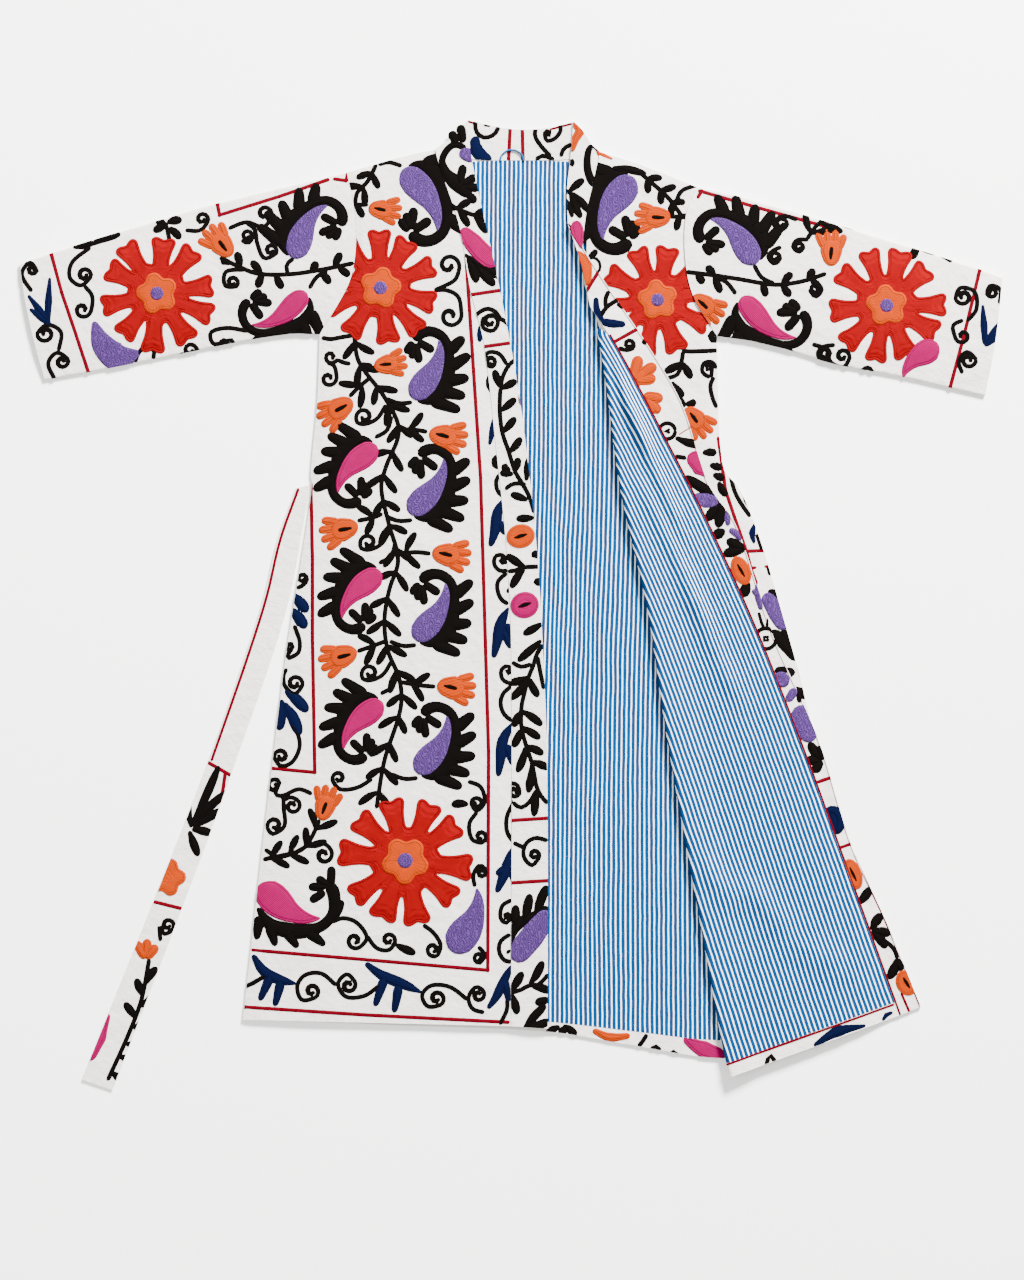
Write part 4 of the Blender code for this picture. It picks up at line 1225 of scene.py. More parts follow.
def draw_front(work):
    """The right front's drawing: large flowers, a vine with drops and tulips, and a hem border."""
    work.rosette(-163, 396, 73, -13)
    work.rosette(-132, -319, 83, 104)
    for x, y, size, turn in ((-99, 287, 1.0, 0), (-99, 140, 1.0, -8), (-94, -16, 1.0, -4),
                             (-92, -182, 1.0, -4)):
        work.boteh(x, y, size, turn)
        work.stem((x - 58, y - 29), (x - 41, y - 35), (x - 24, y - 34))
    work.boteh(*between((-138, 545), (-92, 467), BOTEH_SPAN, -1))
    for x, y in ((-197, 178), (-192, 21), (-190, -142)):
        work.boteh(x, y, 0.95, 165, thread="pink")
        work.stem((x + 48, y + 58), (x + 42, y + 40), (x + 27, y + 31))
        work.scroll((x + 14, y + 57), (x + 5, y + 50), (x + 15, y + 48), (x + 30, y + 55), (x + 41, y + 72))
    work.boteh(*between((-316, -347), (-238, -391), BOTEH_SPAN), thread="pink", mantle=False, slim=1.12)
    work.stroke(((-317, -378), (-302, -398), (-281, -406), (-256, -407), (-235, -400), (-222, -384),
                 (-221, -363), (-227, -347)), (3, 9, 11, 11, 8, 7.5, 9, 10), "black", 0.9)
    work.fingers((((-225, -352), (-224, -326)), ((-229, -350), (-243, -340)), ((-231, -352), (-253, -352)),
            ((-232, -358), (-251, -370))), "black", 5.6)
    for root, tip in (((-314, -388), (-318, -418)), ((-302, -398), (-294, -426)),
                      ((-283, -404), (-266, -428)), ((-256, -406), (-232, -425))):
        work.stroke((root, tip), (9, 8.5, 7.5, 6, 4), "black", 0.88)
    work.boteh(*between((-77, -434), (-43, -354), BOTEH_SPAN), mantle=False, slim=1.18)
    for x, y, size, turn in ((-157, 493, 0.9, -8), (-150, 301, 0.9, 8), (-219, 242, 1.05, 213),
                             (-78, 210, 1.05, -10), (-215, 93, 1.05, 195), (-74, 62, 1.05, -8),
                             (-216, -66, 1.05, 200), (-68, -104, 1.05, -8), (-231, -247, 0.95, 75)):
        work.tulip(x, y, size, turn)
    work.vine(((-196, 337), (-190, 304), (-157, 258), (-140, 218), (-157, 170), (-162, 146), (-153, 103),
               (-141, 56), (-152, 19), (-158, -19), (-154, -56), (-139, -94), (-138, -130), (-158, -194),
               (-168, -254)), last=10.0)
    work.vine(((-140, 219), (-121, 219), (-104, 216)), 12.0, 40.0)
    work.stem((-188, 301), (-173, 299))
    work.vine(((-177, 283), (-190, 272), (-202, 260)), 12.0, 40.0)
    work.vine(((-160, 114), (-173, 109), (-192, 105)), 12.0, 40.0)
    work.vine(((-146, 62), (-120, 66), (-100, 64)), 14.0, 40.0)
    work.vine(((-156, -45), (-175, -52), (-192, -58)), 14.0, 40.0)
    work.vine(((-138, -96), (-116, -100), (-94, -102)), 14.0, 40.0)
    work.stem((-237, 334), (-225, 332), (-214, 334), (-196, 337))
    work.vine(((-168, 551), (-179, 529), (-192, 515), (-195, 500)), 12.0, 24.0, length=20.0)
    work.stem((-195, 500), (-178, 500))
    work.stem((-166, 550), (-152, 553), (-136, 548))
    work.scroll((-78, 424), (-65, 418), (-70, 406), (-84, 398), (-96, 393))
    work.scroll((-76, 361), (-62, 366), (-66, 385), (-80, 393), (-96, 393))
    work.scroll((-225, 310), (-217, 306), (-210, 303), (-200, 301))
    work.scroll((-228, 283), (-218, 287), (-221, 299), (-230, 303))
    work.scroll((-215, -216), (-222, -221), (-213, -230), (-192, -228), (-173, -217))
    work.scroll((-296, -226), (-289, -220), (-294, -236), (-285, -238), (-265, -230), (-248, -236))
    work.scroll((-273, -251), (-265, -245), (-275, -240), (-284, -243), (-286, -236))
    work.scroll((-295, -275), (-297, -286), (-283, -276), (-284, -252), (-284, -240))
    work.scroll((-234, -312), (-225, -305), (-235, -297), (-250, -299), (-274, -311), (-291, -314),
                (-308, -305))
    work.vine(((-310, -318), (-287, -313), (-262, -306), (-250, -292), (-239, -268)), 10.0, 26.0, last=12.0)
    work.scroll((-42, -248), (-50, -246), (-43, -257), (-33, -246), (-38, -227), (-54, -220))
    work.scroll((-38, -289), (-37, -297), (-49, -292), (-52, -273), (-42, -258))
    work.scroll((-195, -419), (-188, -427), (-180, -415), (-192, -397), (-209, -391), (-224, -396))
    work.scroll((-153, -418), (-145, -422), (-153, -431), (-168, -428), (-180, -413))
    work.scroll((-97, -430), (-92, -438), (-88, -424), (-97, -409), (-110, -399))
    work.scroll((-40, -440), (-39, -447), (-33, -437), (-41, -426))
    work.scroll((-37, -334), (-32, -330), (-39, -325), (-47, -337), (-45, -352))
    work.leaf((-225, -397), (-212, -372))
    work.leaf((-144, -424), (-122, -434))
    work.leaf((-53, -249), (-72, -249))
    # The hem border, a wave of scrolls and navy leaves
    work.scroll((-249, -482), (-244, -490), (-261, -493), (-267, -476), (-257, -462), (-237, -460),
                (-218, -475))
    work.scroll((-203, -475), (-195, -470), (-205, -461), (-216, -473), (-206, -489), (-183, -488),
                (-164, -475))
    work.scroll((-93, -491), (-87, -499), (-104, -501), (-111, -487), (-99, -475), (-76, -477), (-54, -493))
    work.scroll((-41, -487), (-35, -481), (-44, -477), (-53, -490), (-48, -504), (-33, -509))
    work.stem((-335, -478), (-322, -472), (-305, -462))
    work.arrow_leaf(((-268, -473), (-289, -468), (-308, -458), (-323, -437)), ((-300, -463), (-314, -494)),
                    ((-287, -469), (-295, -501)))
    work.arrow_leaf(((-111, -484), (-136, -473), (-162, -462), (-182, -447)), ((-158, -466), (-170, -501)),
                    ((-140, -475), (-146, -509)))
    work.line((-56, 432), (-38, 159), (-28, -185), (-29, -456))
    work.line((-29, -456), (-180, -443), (-322, -431))
    work.line((-334, -502), (-180, -512), (-4, -521))
    work.line((-250, 151), (-248, 56), (-248, -40), (-245, -209))
    work.line((-245, -209), (-299, -204))
    # The strip beside the side seam
    work.scroll((-261, 33), (-255, 30), (-261, 24), (-268, 21))
    work.scroll((-276, -53), (-272, -50), (-280, -66), (-266, -60), (-264, -45), (-271, -25))
    work.scroll((-270, -98), (-260, -99), (-270, -111), (-282, -102), (-284, -88), (-280, -79))
    work.scroll((-287, -189), (-296, -190), (-287, -201), (-273, -196), (-264, -177), (-267, -159),
                (-274, -150))
    work.leaves((((-273, 14), (-256, -6)), ((-275, -4), (-258, -26)), ((-282, -106), (-257, -130)),
            ((-284, -122), (-266, -158)), ((-286, -118), (-289, -152))), "navy", 6.6)
    draw_seam_leaves(work)


def embroider_right_front():
    work = Embroidery(11)
    draw_front(work)
    work.clip("x", BODY_RIGHT, 1.0)
    work.clip("x", BAND_SEAM, -1.0)
    work.clip("y", BODY_TOP, -1.0)
    work.clip("y", Edge(HEM_RIGHT), 1.0)
    return work.finish("front_right_embroidery", lambda x, y: right_front_base(x, y) + SHELL)


def embroider_back(half):
    """One half of the back's outer side, which faces the surface: the front's drawing, lower."""
    work = Embroidery(71, UNDER_HEIGHT)
    draw_front(work)
    work.clip("x", BODY_RIGHT, 1.0)
    work.clip("y", Edge(HEM_RIGHT), 1.0)
    if half == "left":
        work.mirror(BACK_CENTRE)
    work.clip("y", BODY_TOP, -1.0)
    middle = Edge(((BACK_CENTRE, 600), (BACK_CENTRE, -600)))
    work.clip("x", middle, -1.0 if half == "right" else 1.0)
    if half == "left":
        work.clip("x", BODY_LEFT, -1.0)
    return work.finish(f"back_{half}_embroidery", flat(UNDER_RELIEF), upward=-1.0)


def add_loop():
    """The blue cord loop that the coat hangs from."""
    line = bpy.data.curves.new("hanger_loop_cord", "CURVE")
    line.dimensions = "3D"
    line.bevel_depth = LOOP_RADIUS * MM
    line.bevel_resolution = 3
    line.use_fill_caps = True
    route = line.splines.new("POLY")
    route.points.add(24)
    height = DOUBLED + SEAM_GAP + LOOP_RADIUS + 0.2
    for i, point in enumerate(route.points):
        angle = math.pi * i / 24.0
        point.co = ((LOOP_CENTRE[0] - LOOP_HALF_WIDTH * math.cos(angle)) * MM,
                    (LOOP_CENTRE[1] + LOOP_RISE * math.sin(angle)) * MM, height * MM, 1.0)
    material, tree, shader = new_finish("loop_cord", 0.8)
    shader.inputs["Specular IOR Level"].default_value = 0.05
    wave = link_nodes(tree, "ShaderNodeTexWave", {"Vector": millimetres(tree), "Scale": 0.3},
                      bands_direction="DIAGONAL").outputs["Fac"]
    tree.links.new(mixed(tree, wave, (0.001, 0.03, 0.10, 1.0), (0.003, 0.075, 0.21, 1.0)),
                   shader.inputs["Base Color"])
    bump(tree, shader, wave, 0.3)
    line.materials.append(material)
    piece = bpy.data.objects.new("hanger_loop_cord", line)
    bpy.context.scene.collection.objects.link(piece)
    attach(piece, "root")
    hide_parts("hanger_loop")
    return piece


def draw_seam_leaves(work):
    """Navy leaves and arcs of the right front beside the band's seam."""
    work.leaf((-39, 349), (-39, 331), "navy", 3.5)
    work.stem((-26, 288), (-29, 276), (-21, 261), (-17, 246))
    work.arrow_leaf(((-16, 244), (-21, 226), (-27, 200)), ((-17, 236), (-12, 216)), half=5.0)
    work.scroll((-16, 179), (-13, 172), (-21, 174), (-21, 183), (-14, 186), (-10, 183))
    work.stem((-10, 166), (-18, 157), (-17, 143), (-9, 135))
    work.arrow_leaf(((-10, 132), (-17, 115), (-20, 93), (-26, 73)), ((-15, 105), (-7, 88)))
    work.scroll((-10, 56), (-6, 55), (-10, 62), (-19, 61), (-21, 51), (-14, 43), (-4, 43))
    work.stem((-5, 40), (-16, 30), (-17, 19), (-12, 7), (-3, 1))
    work.leaf((-6, 18), (-2, 18), half=3.0)
    work.arrow_leaf(((-3, -3), (-13, -23), (-17, -44), (-22, -66)), ((-9, -32), (0, -54)),
                    ((-6, -23), (2, -44)))
    work.scroll((-3, -83), (0, -83), (-4, -76), (-12, -81), (-11, -92), (-4, -97), (2, -98))
    work.stem((2, -100), (-10, -111), (-13, -124), (-8, -137), (2, -145))
    work.arrow_leaf(((2, -147), (-10, -169), (-13, -191), (-16, -214)), ((-6, -174), (3, -200)))
    work.stem((3, -247), (-5, -264), (-5, -283), (4, -297))
    work.arrow_leaf(((4, -300), (-2, -318), (-8, -335), (-18, -359)), ((-5, -329), (-19, -336)),
                    ((0, -324), (4, -347)))
    work.scroll((-5, -389), (-1, -391), (-6, -397), (-13, -391), (-11, -376), (1, -368))
    work.stem((-1, -411), (-13, -420), (-15, -432), (-9, -443), (1, -446))
    work.leaf((-5, -431), (-2, -434), half=3.0)
    work.arrow_leaf(((0, -450), (-10, -472), (-19, -490), (-29, -504)), ((-8, -467), (-3, -496)),
                    half=7.0)
    work.stem((-5, -492), (-5, -505), (-14, -524))


def embroider_right_band():
    work = Embroidery(23)
    # Beside the neck: the hook and hand of a large drop, a sprig and a pink drop
    work.stroke(((-56, 570), (-70, 575), (-80, 568), (-86, 555), (-81, 540), (-71, 529), (-60, 521),
                 (-52, 509)), (4.5, 5, 5, 5, 7, 11, 12, 7), "black", 0.9)
    work.fingers((((-60, 577), (-63, 600)), ((-68, 575), (-75, 592)), ((-65, 526), (-59, 550)),
            ((-61, 524), (-43, 536)), ((-58, 521), (-38, 521)), ((-54, 514), (-44, 502))), "black", 5.6)
    work.drop(((-65, 564), (-56, 563), (-43, 558)), (7, 9, 9), "lilac")
    work.stem((-81, 504), (-68, 495), (-58, 491), (-47, 487), (-38, 486))
    work.leaves((((-68, 495), (-52, 504)), ((-66, 494), (-54, 475)), ((-47, 487), (-33, 493)),
            ((-45, 487), (-29, 483)), ((-46, 487), (-32, 467))), half=4.6)
    work.stroke(((-58, 438), (-43, 427), (-22, 420), (-7, 419)), (2, 6, 7, 6), "black", 0.9)
    work.leaves((((-54, 434), (-44, 406)), ((-44, 427), (-23, 402)), ((-31, 421), (-11, 411))), half=5.6)
    work.drop(((-62, 470), (-52, 458), (-36, 440), (-18, 424)), (7, 12, 13, 10), "pink")
    work.line((-52, 387), (-5, 394))
    work.scroll((-26, 354), (-18, 347), (-24, 342), (-35, 347), (-34, 358), (-18, 362))
    work.stem((-47, 358), (-40, 365), (-29, 370), (-18, 365), (-14, 358), (-7, 354), (1, 346))
    work.line((-37, 322), (5, 328))
    # The climbing vine
    work.scroll((-26, 304), (-24, 297), (-31, 302), (-32, 312), (-25, 316), (-14, 313), (-5, 300))
    work.stem((8, 308), (-2, 300), (-10, 286), (-13, 271))
    work.vine(((-13, 271), (-14, 256), (-14, 241), (-11, 216), (-3, 192), (5, 167), (15, 150),
               (23, 135), (29, 115)), first=500.0)
    work.leaves((((-13, 271), (-20, 291)), ((-12, 270), (5, 279)), ((-13, 242), (4, 256)),
            ((-11, 215), (4, 232)), ((-3, 190), (11, 207)), ((5, 166), (9, 182)), ((3, 163), (-12, 165)),
            ((-1, 166), (-10, 174)), ((21, 131), (2, 138)), ((29, 109), (9, 108)), ((19, 155), (23, 182))),
            half=4.6)
    work.stem((19, 150), (8, 152), (-2, 149), (-7, 144))
    work.oval((12, 86), 18.0, 15.0, 10.0, "orange")
    work.oval((17, 0), 18.0, 16.5, 12.0, "pink")
    work.oval((16, 258), 7.0, 10.0, 0.0, "orange")
    work.stem((36, 48), (17, 47), (5, 43), (-4, 42))
    work.leaves((((18, 47), (-3, 61)), ((17, 45), (2, 24)), ((39, -23), (18, -35)), ((38, -44), (12, -67)),
            ((22, -90), (0, -97)), ((20, -94), (2, -115)), ((23, -91), (33, -112)),
            ((13, -132), (36, -148)), ((12, -133), (4, -150)), ((13, -152), (34, -165)),
            ((12, -155), (4, -175)), ((18, -176), (38, -185)), ((18, -177), (9, -205)),
            ((26, -195), (45, -203)), ((26, -198), (22, -230)), ((36, 60), (27, 65)), ((36, 24), (31, 32))),
            half=4.8)
    work.stem((40, -49), (32, -62), (28, -75), (22, -90), (17, -109), (13, -128), (13, -152),
              (19, -176), (26, -197), (30, -217), (32, -227), (38, -239), (46, -248))
    work.stem((1, -71), (12, -77), (26, -74))
    work.stem((33, -64), (36, -81), (41, -105))
    work.leaf((28, -208), (22, -229), half=4.6)
    work.leaf((32, -231), (29, -260), half=4.8)
    work.stem((32, -231), (23, -246), (12, -253), (2, -246))
    work.scroll((4, -233), (11, -235), (7, -224), (-4, -224), (-7, -235), (-1, -244), (2, -247))
    work.line((1, -269), (48, -266))
    work.stem((3, -296), (10, -301), (17, -302))
    work.scroll((29, -312), (34, -317), (26, -325), (16, -314), (18, -299), (30, -291), (46, -294))
    work.line((0, -347), (48, -344))
    # A lilac drop near the hem under its mantle of leaves
    work.stroke(((0, -436), (0, -414), (11, -397), (28, -389), (48, -378)), (2, 6, 8, 7, 6), "black", 0.9)
    work.leaves((((6, -405), (6, -378)), ((16, -397), (23, -365)), ((30, -391), (43, -355))), half=5.4)
    work.drop(((4, -445), (13, -430), (26, -414), (38, -397), (48, -382)), (12, 15, 15.5, 14, 9), "lilac")
    work.stem((-4, -485), (11, -481), (23, -475), (34, -474), (47, -461))
    work.leaves((((23, -474), (38, -448)), ((26, -476), (47, -482)), ((0, -483), (13, -461)),
            ((0, -485), (7, -508)), ((49, -492), (32, -496)), ((16, -530), (40, -503)),
            ((17, -530), (47, -520))), half=5.0)
    work.clip("x", BAND_SEAM, 1.0)
    work.clip("x", BAND_EDGE, -1.0)
    work.clip("y", Edge(BAND_HEM_RIGHT), 1.0)
    return work.finish("band_right_embroidery", lambda x, y: band_base(x, y) + DOUBLED, "border")


def embroider_neck_band():
    work = Embroidery(31)
    work.stem((-45, 605), (-43, 591), (-33, 584), (-21, 588), (-15, 598))
    work.leaf((-34, 600), (-26, 600), half=3.0)
    work.stroke(((-43, 586), (-45, 574), (-39, 563), (-24, 556)), (5, 9.5, 9.5, 4), "navy")
    work.line((-53, 604), (-43, 601), half=1.6)
    work.line((50, 594.5), (75, 601), half=1.6)
    work.line((-1, 598), (-3, 555))
    work.line((14, 598), (15, 555))
    work.scroll((46, 589), (42, 588), (45, 580), (55, 583), (62, 593), (60, 603))
    work.stem((31, 597), (30, 586), (38, 573), (50, 560))
    work.stem((31, 556), (37, 561), (46, 560), (54, 556))
    work.stem((62, 560), (66, 570), (76, 576))
    work.clip("y", Edge(NECK_TOP), -1.0)
    work.clip("y", Edge(moved(NECK_SEAM, 0.0, SEAM_GAP)), 1.0)
    return work.finish("neck_band_embroidery", flat(DOUBLED), "border")


def embroider_left_band():
    work = Embroidery(37)
    work.stroke(((110, 565), (103, 574), (97, 568), (95, 550), (98, 535), (105, 523)),
                (2, 4, 5, 5.6, 6, 6.5), "black")
    work.stroke(((76, 603), (86, 592.5), (81, 583), (76, 566)), (3, 7, 5.5, 3), "orange")
    work.stroke(((108, 568), (111, 561)), (3,), "orange")
    work.leaf((72, 552), (79, 552), half=4.5)
    work.leaves((((72, 516), (89, 530)), ((74, 515), (86, 487)), ((76, 515), (96, 493))), half=4.6)
    work.stem((68, 507), (73, 495), (77, 484))
    work.stem((66, 517), (72, 516), (77, 513))
    work.drop(((82, 480), (82, 471), (85, 458), (87, 444)), (6, 8.6, 6, 1.2), "pink")
    work.leaf((71, 476), (78, 461), half=3.4)
    work.leaf((75, 457), (81, 449), half=3.4)
    work.clip("x", Edge(NECK_EDGE_LEFT, ROLL_START), 1.0)
    work.clip("x", Edge(moved(BAND_SEAM_LEFT, -SEAM_GAP)), -1.0)
    work.clip("y", Edge(NECK_CORNER_LEFT), -1.0)
    return work.finish("band_left_embroidery", lambda x, y: band_base(x, y) + DOUBLED, "border")


def embroider_left_front():
    """What shows of the left front beside the turned flap, and a little that runs under it."""
    work = Embroidery(41)
    work.boteh(*between((156, 535), (115, 456), BOTEH_SPAN), slim=1.08)
    work.tulip(*between((199, 485), (153, 483), TULIP_SPAN))
    work.stem((198, 485), (206, 485), (215, 483))
    work.vine(((159, 542), (175, 528), (195, 510), (206, 496), (216, 482)), 14.0, 20.0, length=17.0)
    work.stem((206, 503), (213, 517), (233, 525))
    work.rosette(*(183, 381), 71, 6)
    work.leaf((126, 546), (164, 539), half=4.6)
    work.stroke(((108, 566), (116, 562), (127, 557)), (3, 2.6, 1.4), "orange")
    work.leaf((95, 431), (106, 442), half=4.0)
    work.stem((95, 431), (103, 434), (110, 429), (111, 419), (105, 413), half=2.2)
    work.stem((214, 320), (217, 317), (239, 317), (259, 318))
    work.stem((215, 317), (213, 304), (208, 288), (195, 283))
    work.stem((201, 279), (208, 263), (217, 247))
    work.leaves((((214, 303), (194, 292)), ((214, 303), (224, 285)), ((201, 278), (214, 262)),
            ((218, 249), (209, 258)), ((218, 250), (230, 253)), ((239, 190), (255, 190)),
            ((248, 175), (262, 171)), ((252, 163), (265, 158)), ((259, 154), (268, 138))), half=4.8)
    work.scroll((247, 296), (251, 294), (249, 285), (239, 291), (241, 302), (252, 303), (257, 295))
    work.scroll((255, 335), (259, 334), (253, 329), (248, 337), (256, 343))
    work.stem((254, 285), (249, 275), (251, 261), (257, 246))
    work.tulip(*between((218, 245), (248, 211), TULIP_SPAN))
    work.line((259, 208), (263, 179), (268, 143), (280, 107), (294, 67), (300, 44), (306, 28))
    work.stem((274, 162), (281, 138), (299, 110))
    work.leaf((291, 136), (296, 126), half=3.0)
    work.stroke(((305, 102), (301, 89), (304, 77)), (2, 5, 2), "navy")
    work.stem((307, 89), (314, 68))
    work.line((292, 67), (317, 68))
    work.line((299, 46), (322, 48))
    work.stem((321, 48), (324, 37))
    work.stroke(((304, 29), (307, 12), (312, -9)), (2, 5, 3), "lilac", 1.15)
    work.drop(((316, 14), (328, -2), (344, -30)), (8, 12, 10), "lilac")
    work.leaf((321, 18), (334, 11), half=5.5)
    work.stem((311, -8), (309, -18), (304, -26))
    work.stem((319, -16), (319, -26), (325, -34))
    work.leaves((((354, -69), (329, -36)), ((354, -69), (341, -35)), ((355, -70), (348, -42)),
            ((345, -78), (349, -89)), ((361, -120), (356, -104)), ((366, -118), (367, -104)),
            ((361, -118), (354, -127))), half=7.0)
    work.stem((359, -78), (362, -90), (366, -101), half=1.6)
    # Lower down the side panel, out to the hem
    for y, reach in ((-250, 10), (-330, 8), (-410, 10), (-480, 10)):
        x = float(SIDE_OF_LEFT.x_at(y)) - reach
        work.leaf((x - 6, y + 12), (x + 2, y - 8), half=4.6)
    work.clip("x", BODY_LEFT, -1.0)
    work.clip("x", LEFT_INNER, 1.0)
    work.clip("y", BODY_TOP, -1.0)
    return work.finish("front_left_embroidery", lambda x, y: left_front_base(x, y) + SHELL)


def embroider_facing():
    """The turned band, seen from its outer side, with the red piping of its seam."""
    work = Embroidery(43)
    work.stroke(FLAP_SEAM.points + (1.5, 0.6), (1.3,), "crimson", 1.4, spacing=8.0, ready=True)
    work.stroke(FREE.points - (1.3, 0.6), (0.45,), "crimson", 0.6, spacing=10.0, ready=True)
    work.drop(((75, 485), (82, 470), (90, 445)), (6, 9, 3), "pink")
    work.stroke(((80, 441), (89, 427), (94, 398)), (6, 12, 7), "orange", 1.15)
    work.line((113, 422), (90, 385))
    work.stroke(((106, 384), (107, 368), (114, 353)), (3.5, 5, 4), "navy")
    work.stroke(((113, 354), (125, 351), (143, 350)), (5, 6, 4), "navy")
    work.stem((111, 360), (120, 372), (135, 382))
    work.stem((118, 371), (118, 382), (122, 392))
    work.leaf((132, 376), (141, 372), half=4.0)
    work.line((118, 322), (168, 350))
    work.scroll((147, 325), (152, 320), (143, 318), (134, 321))
    work.leaf((163, 329), (169, 329), half=4.0)
    work.fingers((((152, 281), (160, 311)), ((154, 281), (181, 300)), ((155, 280), (181, 283)),
            ((157, 270), (152, 290))), "orange", 7.4)
    work.fingers((((165, 261), (190, 257)), ((168, 257), (186, 240)), ((170, 254), (179, 239))),
            "orange", 7.0)
    work.target((195, 217), 10.0, 5.0)
    work.leaf((205, 209), (238, 200), half=5.0)
    work.line((210, 213), (226, 223), thread="orange", half=0.9)
    work.drop(((220, 186), (234, 179), (255, 158)), (9, 15, 3), "pink")
    work.leaf((236, 179), (246, 178), half=3.6)
    work.stem((204, 185), (210, 185), (219, 183))
    work.stroke(((228, 136), (241, 131), (259, 129)), (4, 10, 6), "lilac", 1.05, section=BROAD_SECTION)
    work.stroke(((273, 122), (270, 112), (271, 99)), (2, 4.5, 3.5), "lilac", 1.1)
    work.stroke(((272, 94), (280, 90), (287, 81)), (4, 5.5, 3), "lilac", 1.1)
    work.leaves((((263, 132), (222, 157)), ((263, 133), (250, 158)), ((262, 131), (232, 135)),
            ((263, 127), (246, 108)), ((264, 127), (259, 100)), ((263, 129), (272, 143)),
            ((267, 94), (254, 87)), ((294, 70), (272, 80)), ((292, 69), (268, 64)), ((297, 29), (290, 12)),
            ((329, -81), (343, -83))), half=6.0)
    work.oval((287, 43), 19.0, 11.5, -66.0, "orange")
    work.stroke(((301, 19), (308, 13), (315, 6)), (3, 5, 3), "lilac", 1.1)
    work.stroke(((321, 2), (328, -5), (334, -12)), (3, 5.5, 3), "lilac", 1.1)
    work.target((318, -42), 13.0, 6.0)
    work.stroke(((307, 26), (309, 10), (312, -6)), (3, 6, 3), "lilac", 1.1)
    work.stem((309, -9), (313, -23), (316, -29), half=2.4)
    work.stem((322, -15), (319, -27), half=2.4)
    work.drop(((330, -86), (338, -93), (345, -101)), (8, 11, 6), "lilac")
    work.stroke(((355, -104), (350, -113), (344, -120)), (6, 7, 5), "lilac", 1.15)
    work.drop(((359, -125), (365, -143), (375, -171)), (14, 16, 10), "lilac")
    work.leaves((((359, -122), (362, -105)), ((366, -120), (368, -104)), ((388, -194), (374, -174)),
            ((388, -194), (370, -193)), ((389, -195), (378, -207)), ((389, -194), (384, -178)),
            ((450, -406), (462, -388)), ((450, -407), (472, -410)), ((450, -407), (467, -426)),
            ((483, -441), (473, -464)), ((482, -441), (488, -455))), half=5.6)
    work.stem((462, -416), (478, -429), (483, -442))
    work.line((377, -223), (401, -215))
    work.stroke(((393, -255), (408, -259), (412, -270), (406, -286)), (5, 8, 8, 5), "navy")
    work.stroke(((396, -256), (402, -270), (398, -284)), (4, 5, 3), "navy")
    work.line((408, -304), (428, -297))
    work.oval((427, -336), 20.0, 11.0, -70.0, "orange")
    work.leaf((432, -374), (448, -355), half=5.4)
    work.stroke(((430, -311), (468, -395), (509, -480)), (1.0,), "crimson", 0.7, spacing=8.0)
    work.oval((494, -472), 16.5, 13.0, -66.0, "orange")
    work.line((488, -486), (498, -509), half=2.0)
    work.line((503, -480), (511, -498), half=2.0)
    work.clip("y", Edge(((485, -513), (512, -502))), 1.0)
    work.clip("x", Edge(ROLL_START, moved(FACING_SEAM, SEAM_GAP)), 1.0)
    work.clip("x", FREE, -1.0)
    return work.finish("facing_left_embroidery",
                       lambda x, y: facing_base(x, y) + DOUBLED + SEAM_GAP, "border")


def embroider_hem_facings():
    """The strips of embroidery along the two hems."""
    work = Embroidery(47)
    work.leaves((((61, -526), (46, -533)), ((65, -525), (80, -536)), ((72, -526), (61, -535))), half=4.6)
    work.stroke(((102, -531), (123, -540), (149, -538)), (4, 6.5, 4), "orange", 1.0)
    work.stem((170, -536), (166, -543), (159, -552))
    work.stem((175, -556), (180, -551), (187, -557))
    work.stem((197, -564), (203, -558), (209, -564))
    work.drop(((216, -541), (232, -551), (267, -566)), (4, 11, 9), "pink")
    bottom = Edge(HEM_BACK)
    work.clip("y", bottom, 1.0)
    work.clip("y", Edge(HEM_FACING_TOP), -1.0)
    return work.finish("hem_facing_back_embroidery", flat(FRONT_EDGE + LINING), "border")


def embroider_left_hem():
    work = Embroidery(48)
    work.stroke(((378, -550), (406, -533), (443, -525)), (3, 8, 2), "navy")
    work.stroke(((464, -519), (470, -511), (477, -509)), (2, 3.5, 2), "navy")
    work.stem((318, -576), (323, -562), (330, -570))
    last = Edge((tuple(LEFT_INNER.at(1.0)), FACING_SEAM[-1]))
    work.clip("y", last, 1.0)
    top = Edge((tuple(ROLL.at(1.0 - HEM_FACING_SHARE)), tuple(FLAP_SEAM.at(1.0 - HEM_FACING_SHARE))))
    work.clip("y", top, -1.0)

    def lining_top(x, y):
        away = 1.06 * (x - LEFT_INNER.x_at(y) - ROLL_INSET)
        settle = smooth(away / FLAP_SETTLE)
        gap = 2.0 * ROLL_RADIUS_HEM * (1.0 - settle) + FLAP_GAP * settle
        return flap_base(x, y, gap) + SHELL + SEAM_GAP + LINING

    work.stroke(top.points - (0.0, 2.2), (1.5,), "crimson", 1.0, spacing=8.0, ready=True)
    return work.finish("hem_facing_left_embroidery", lining_top, "border")


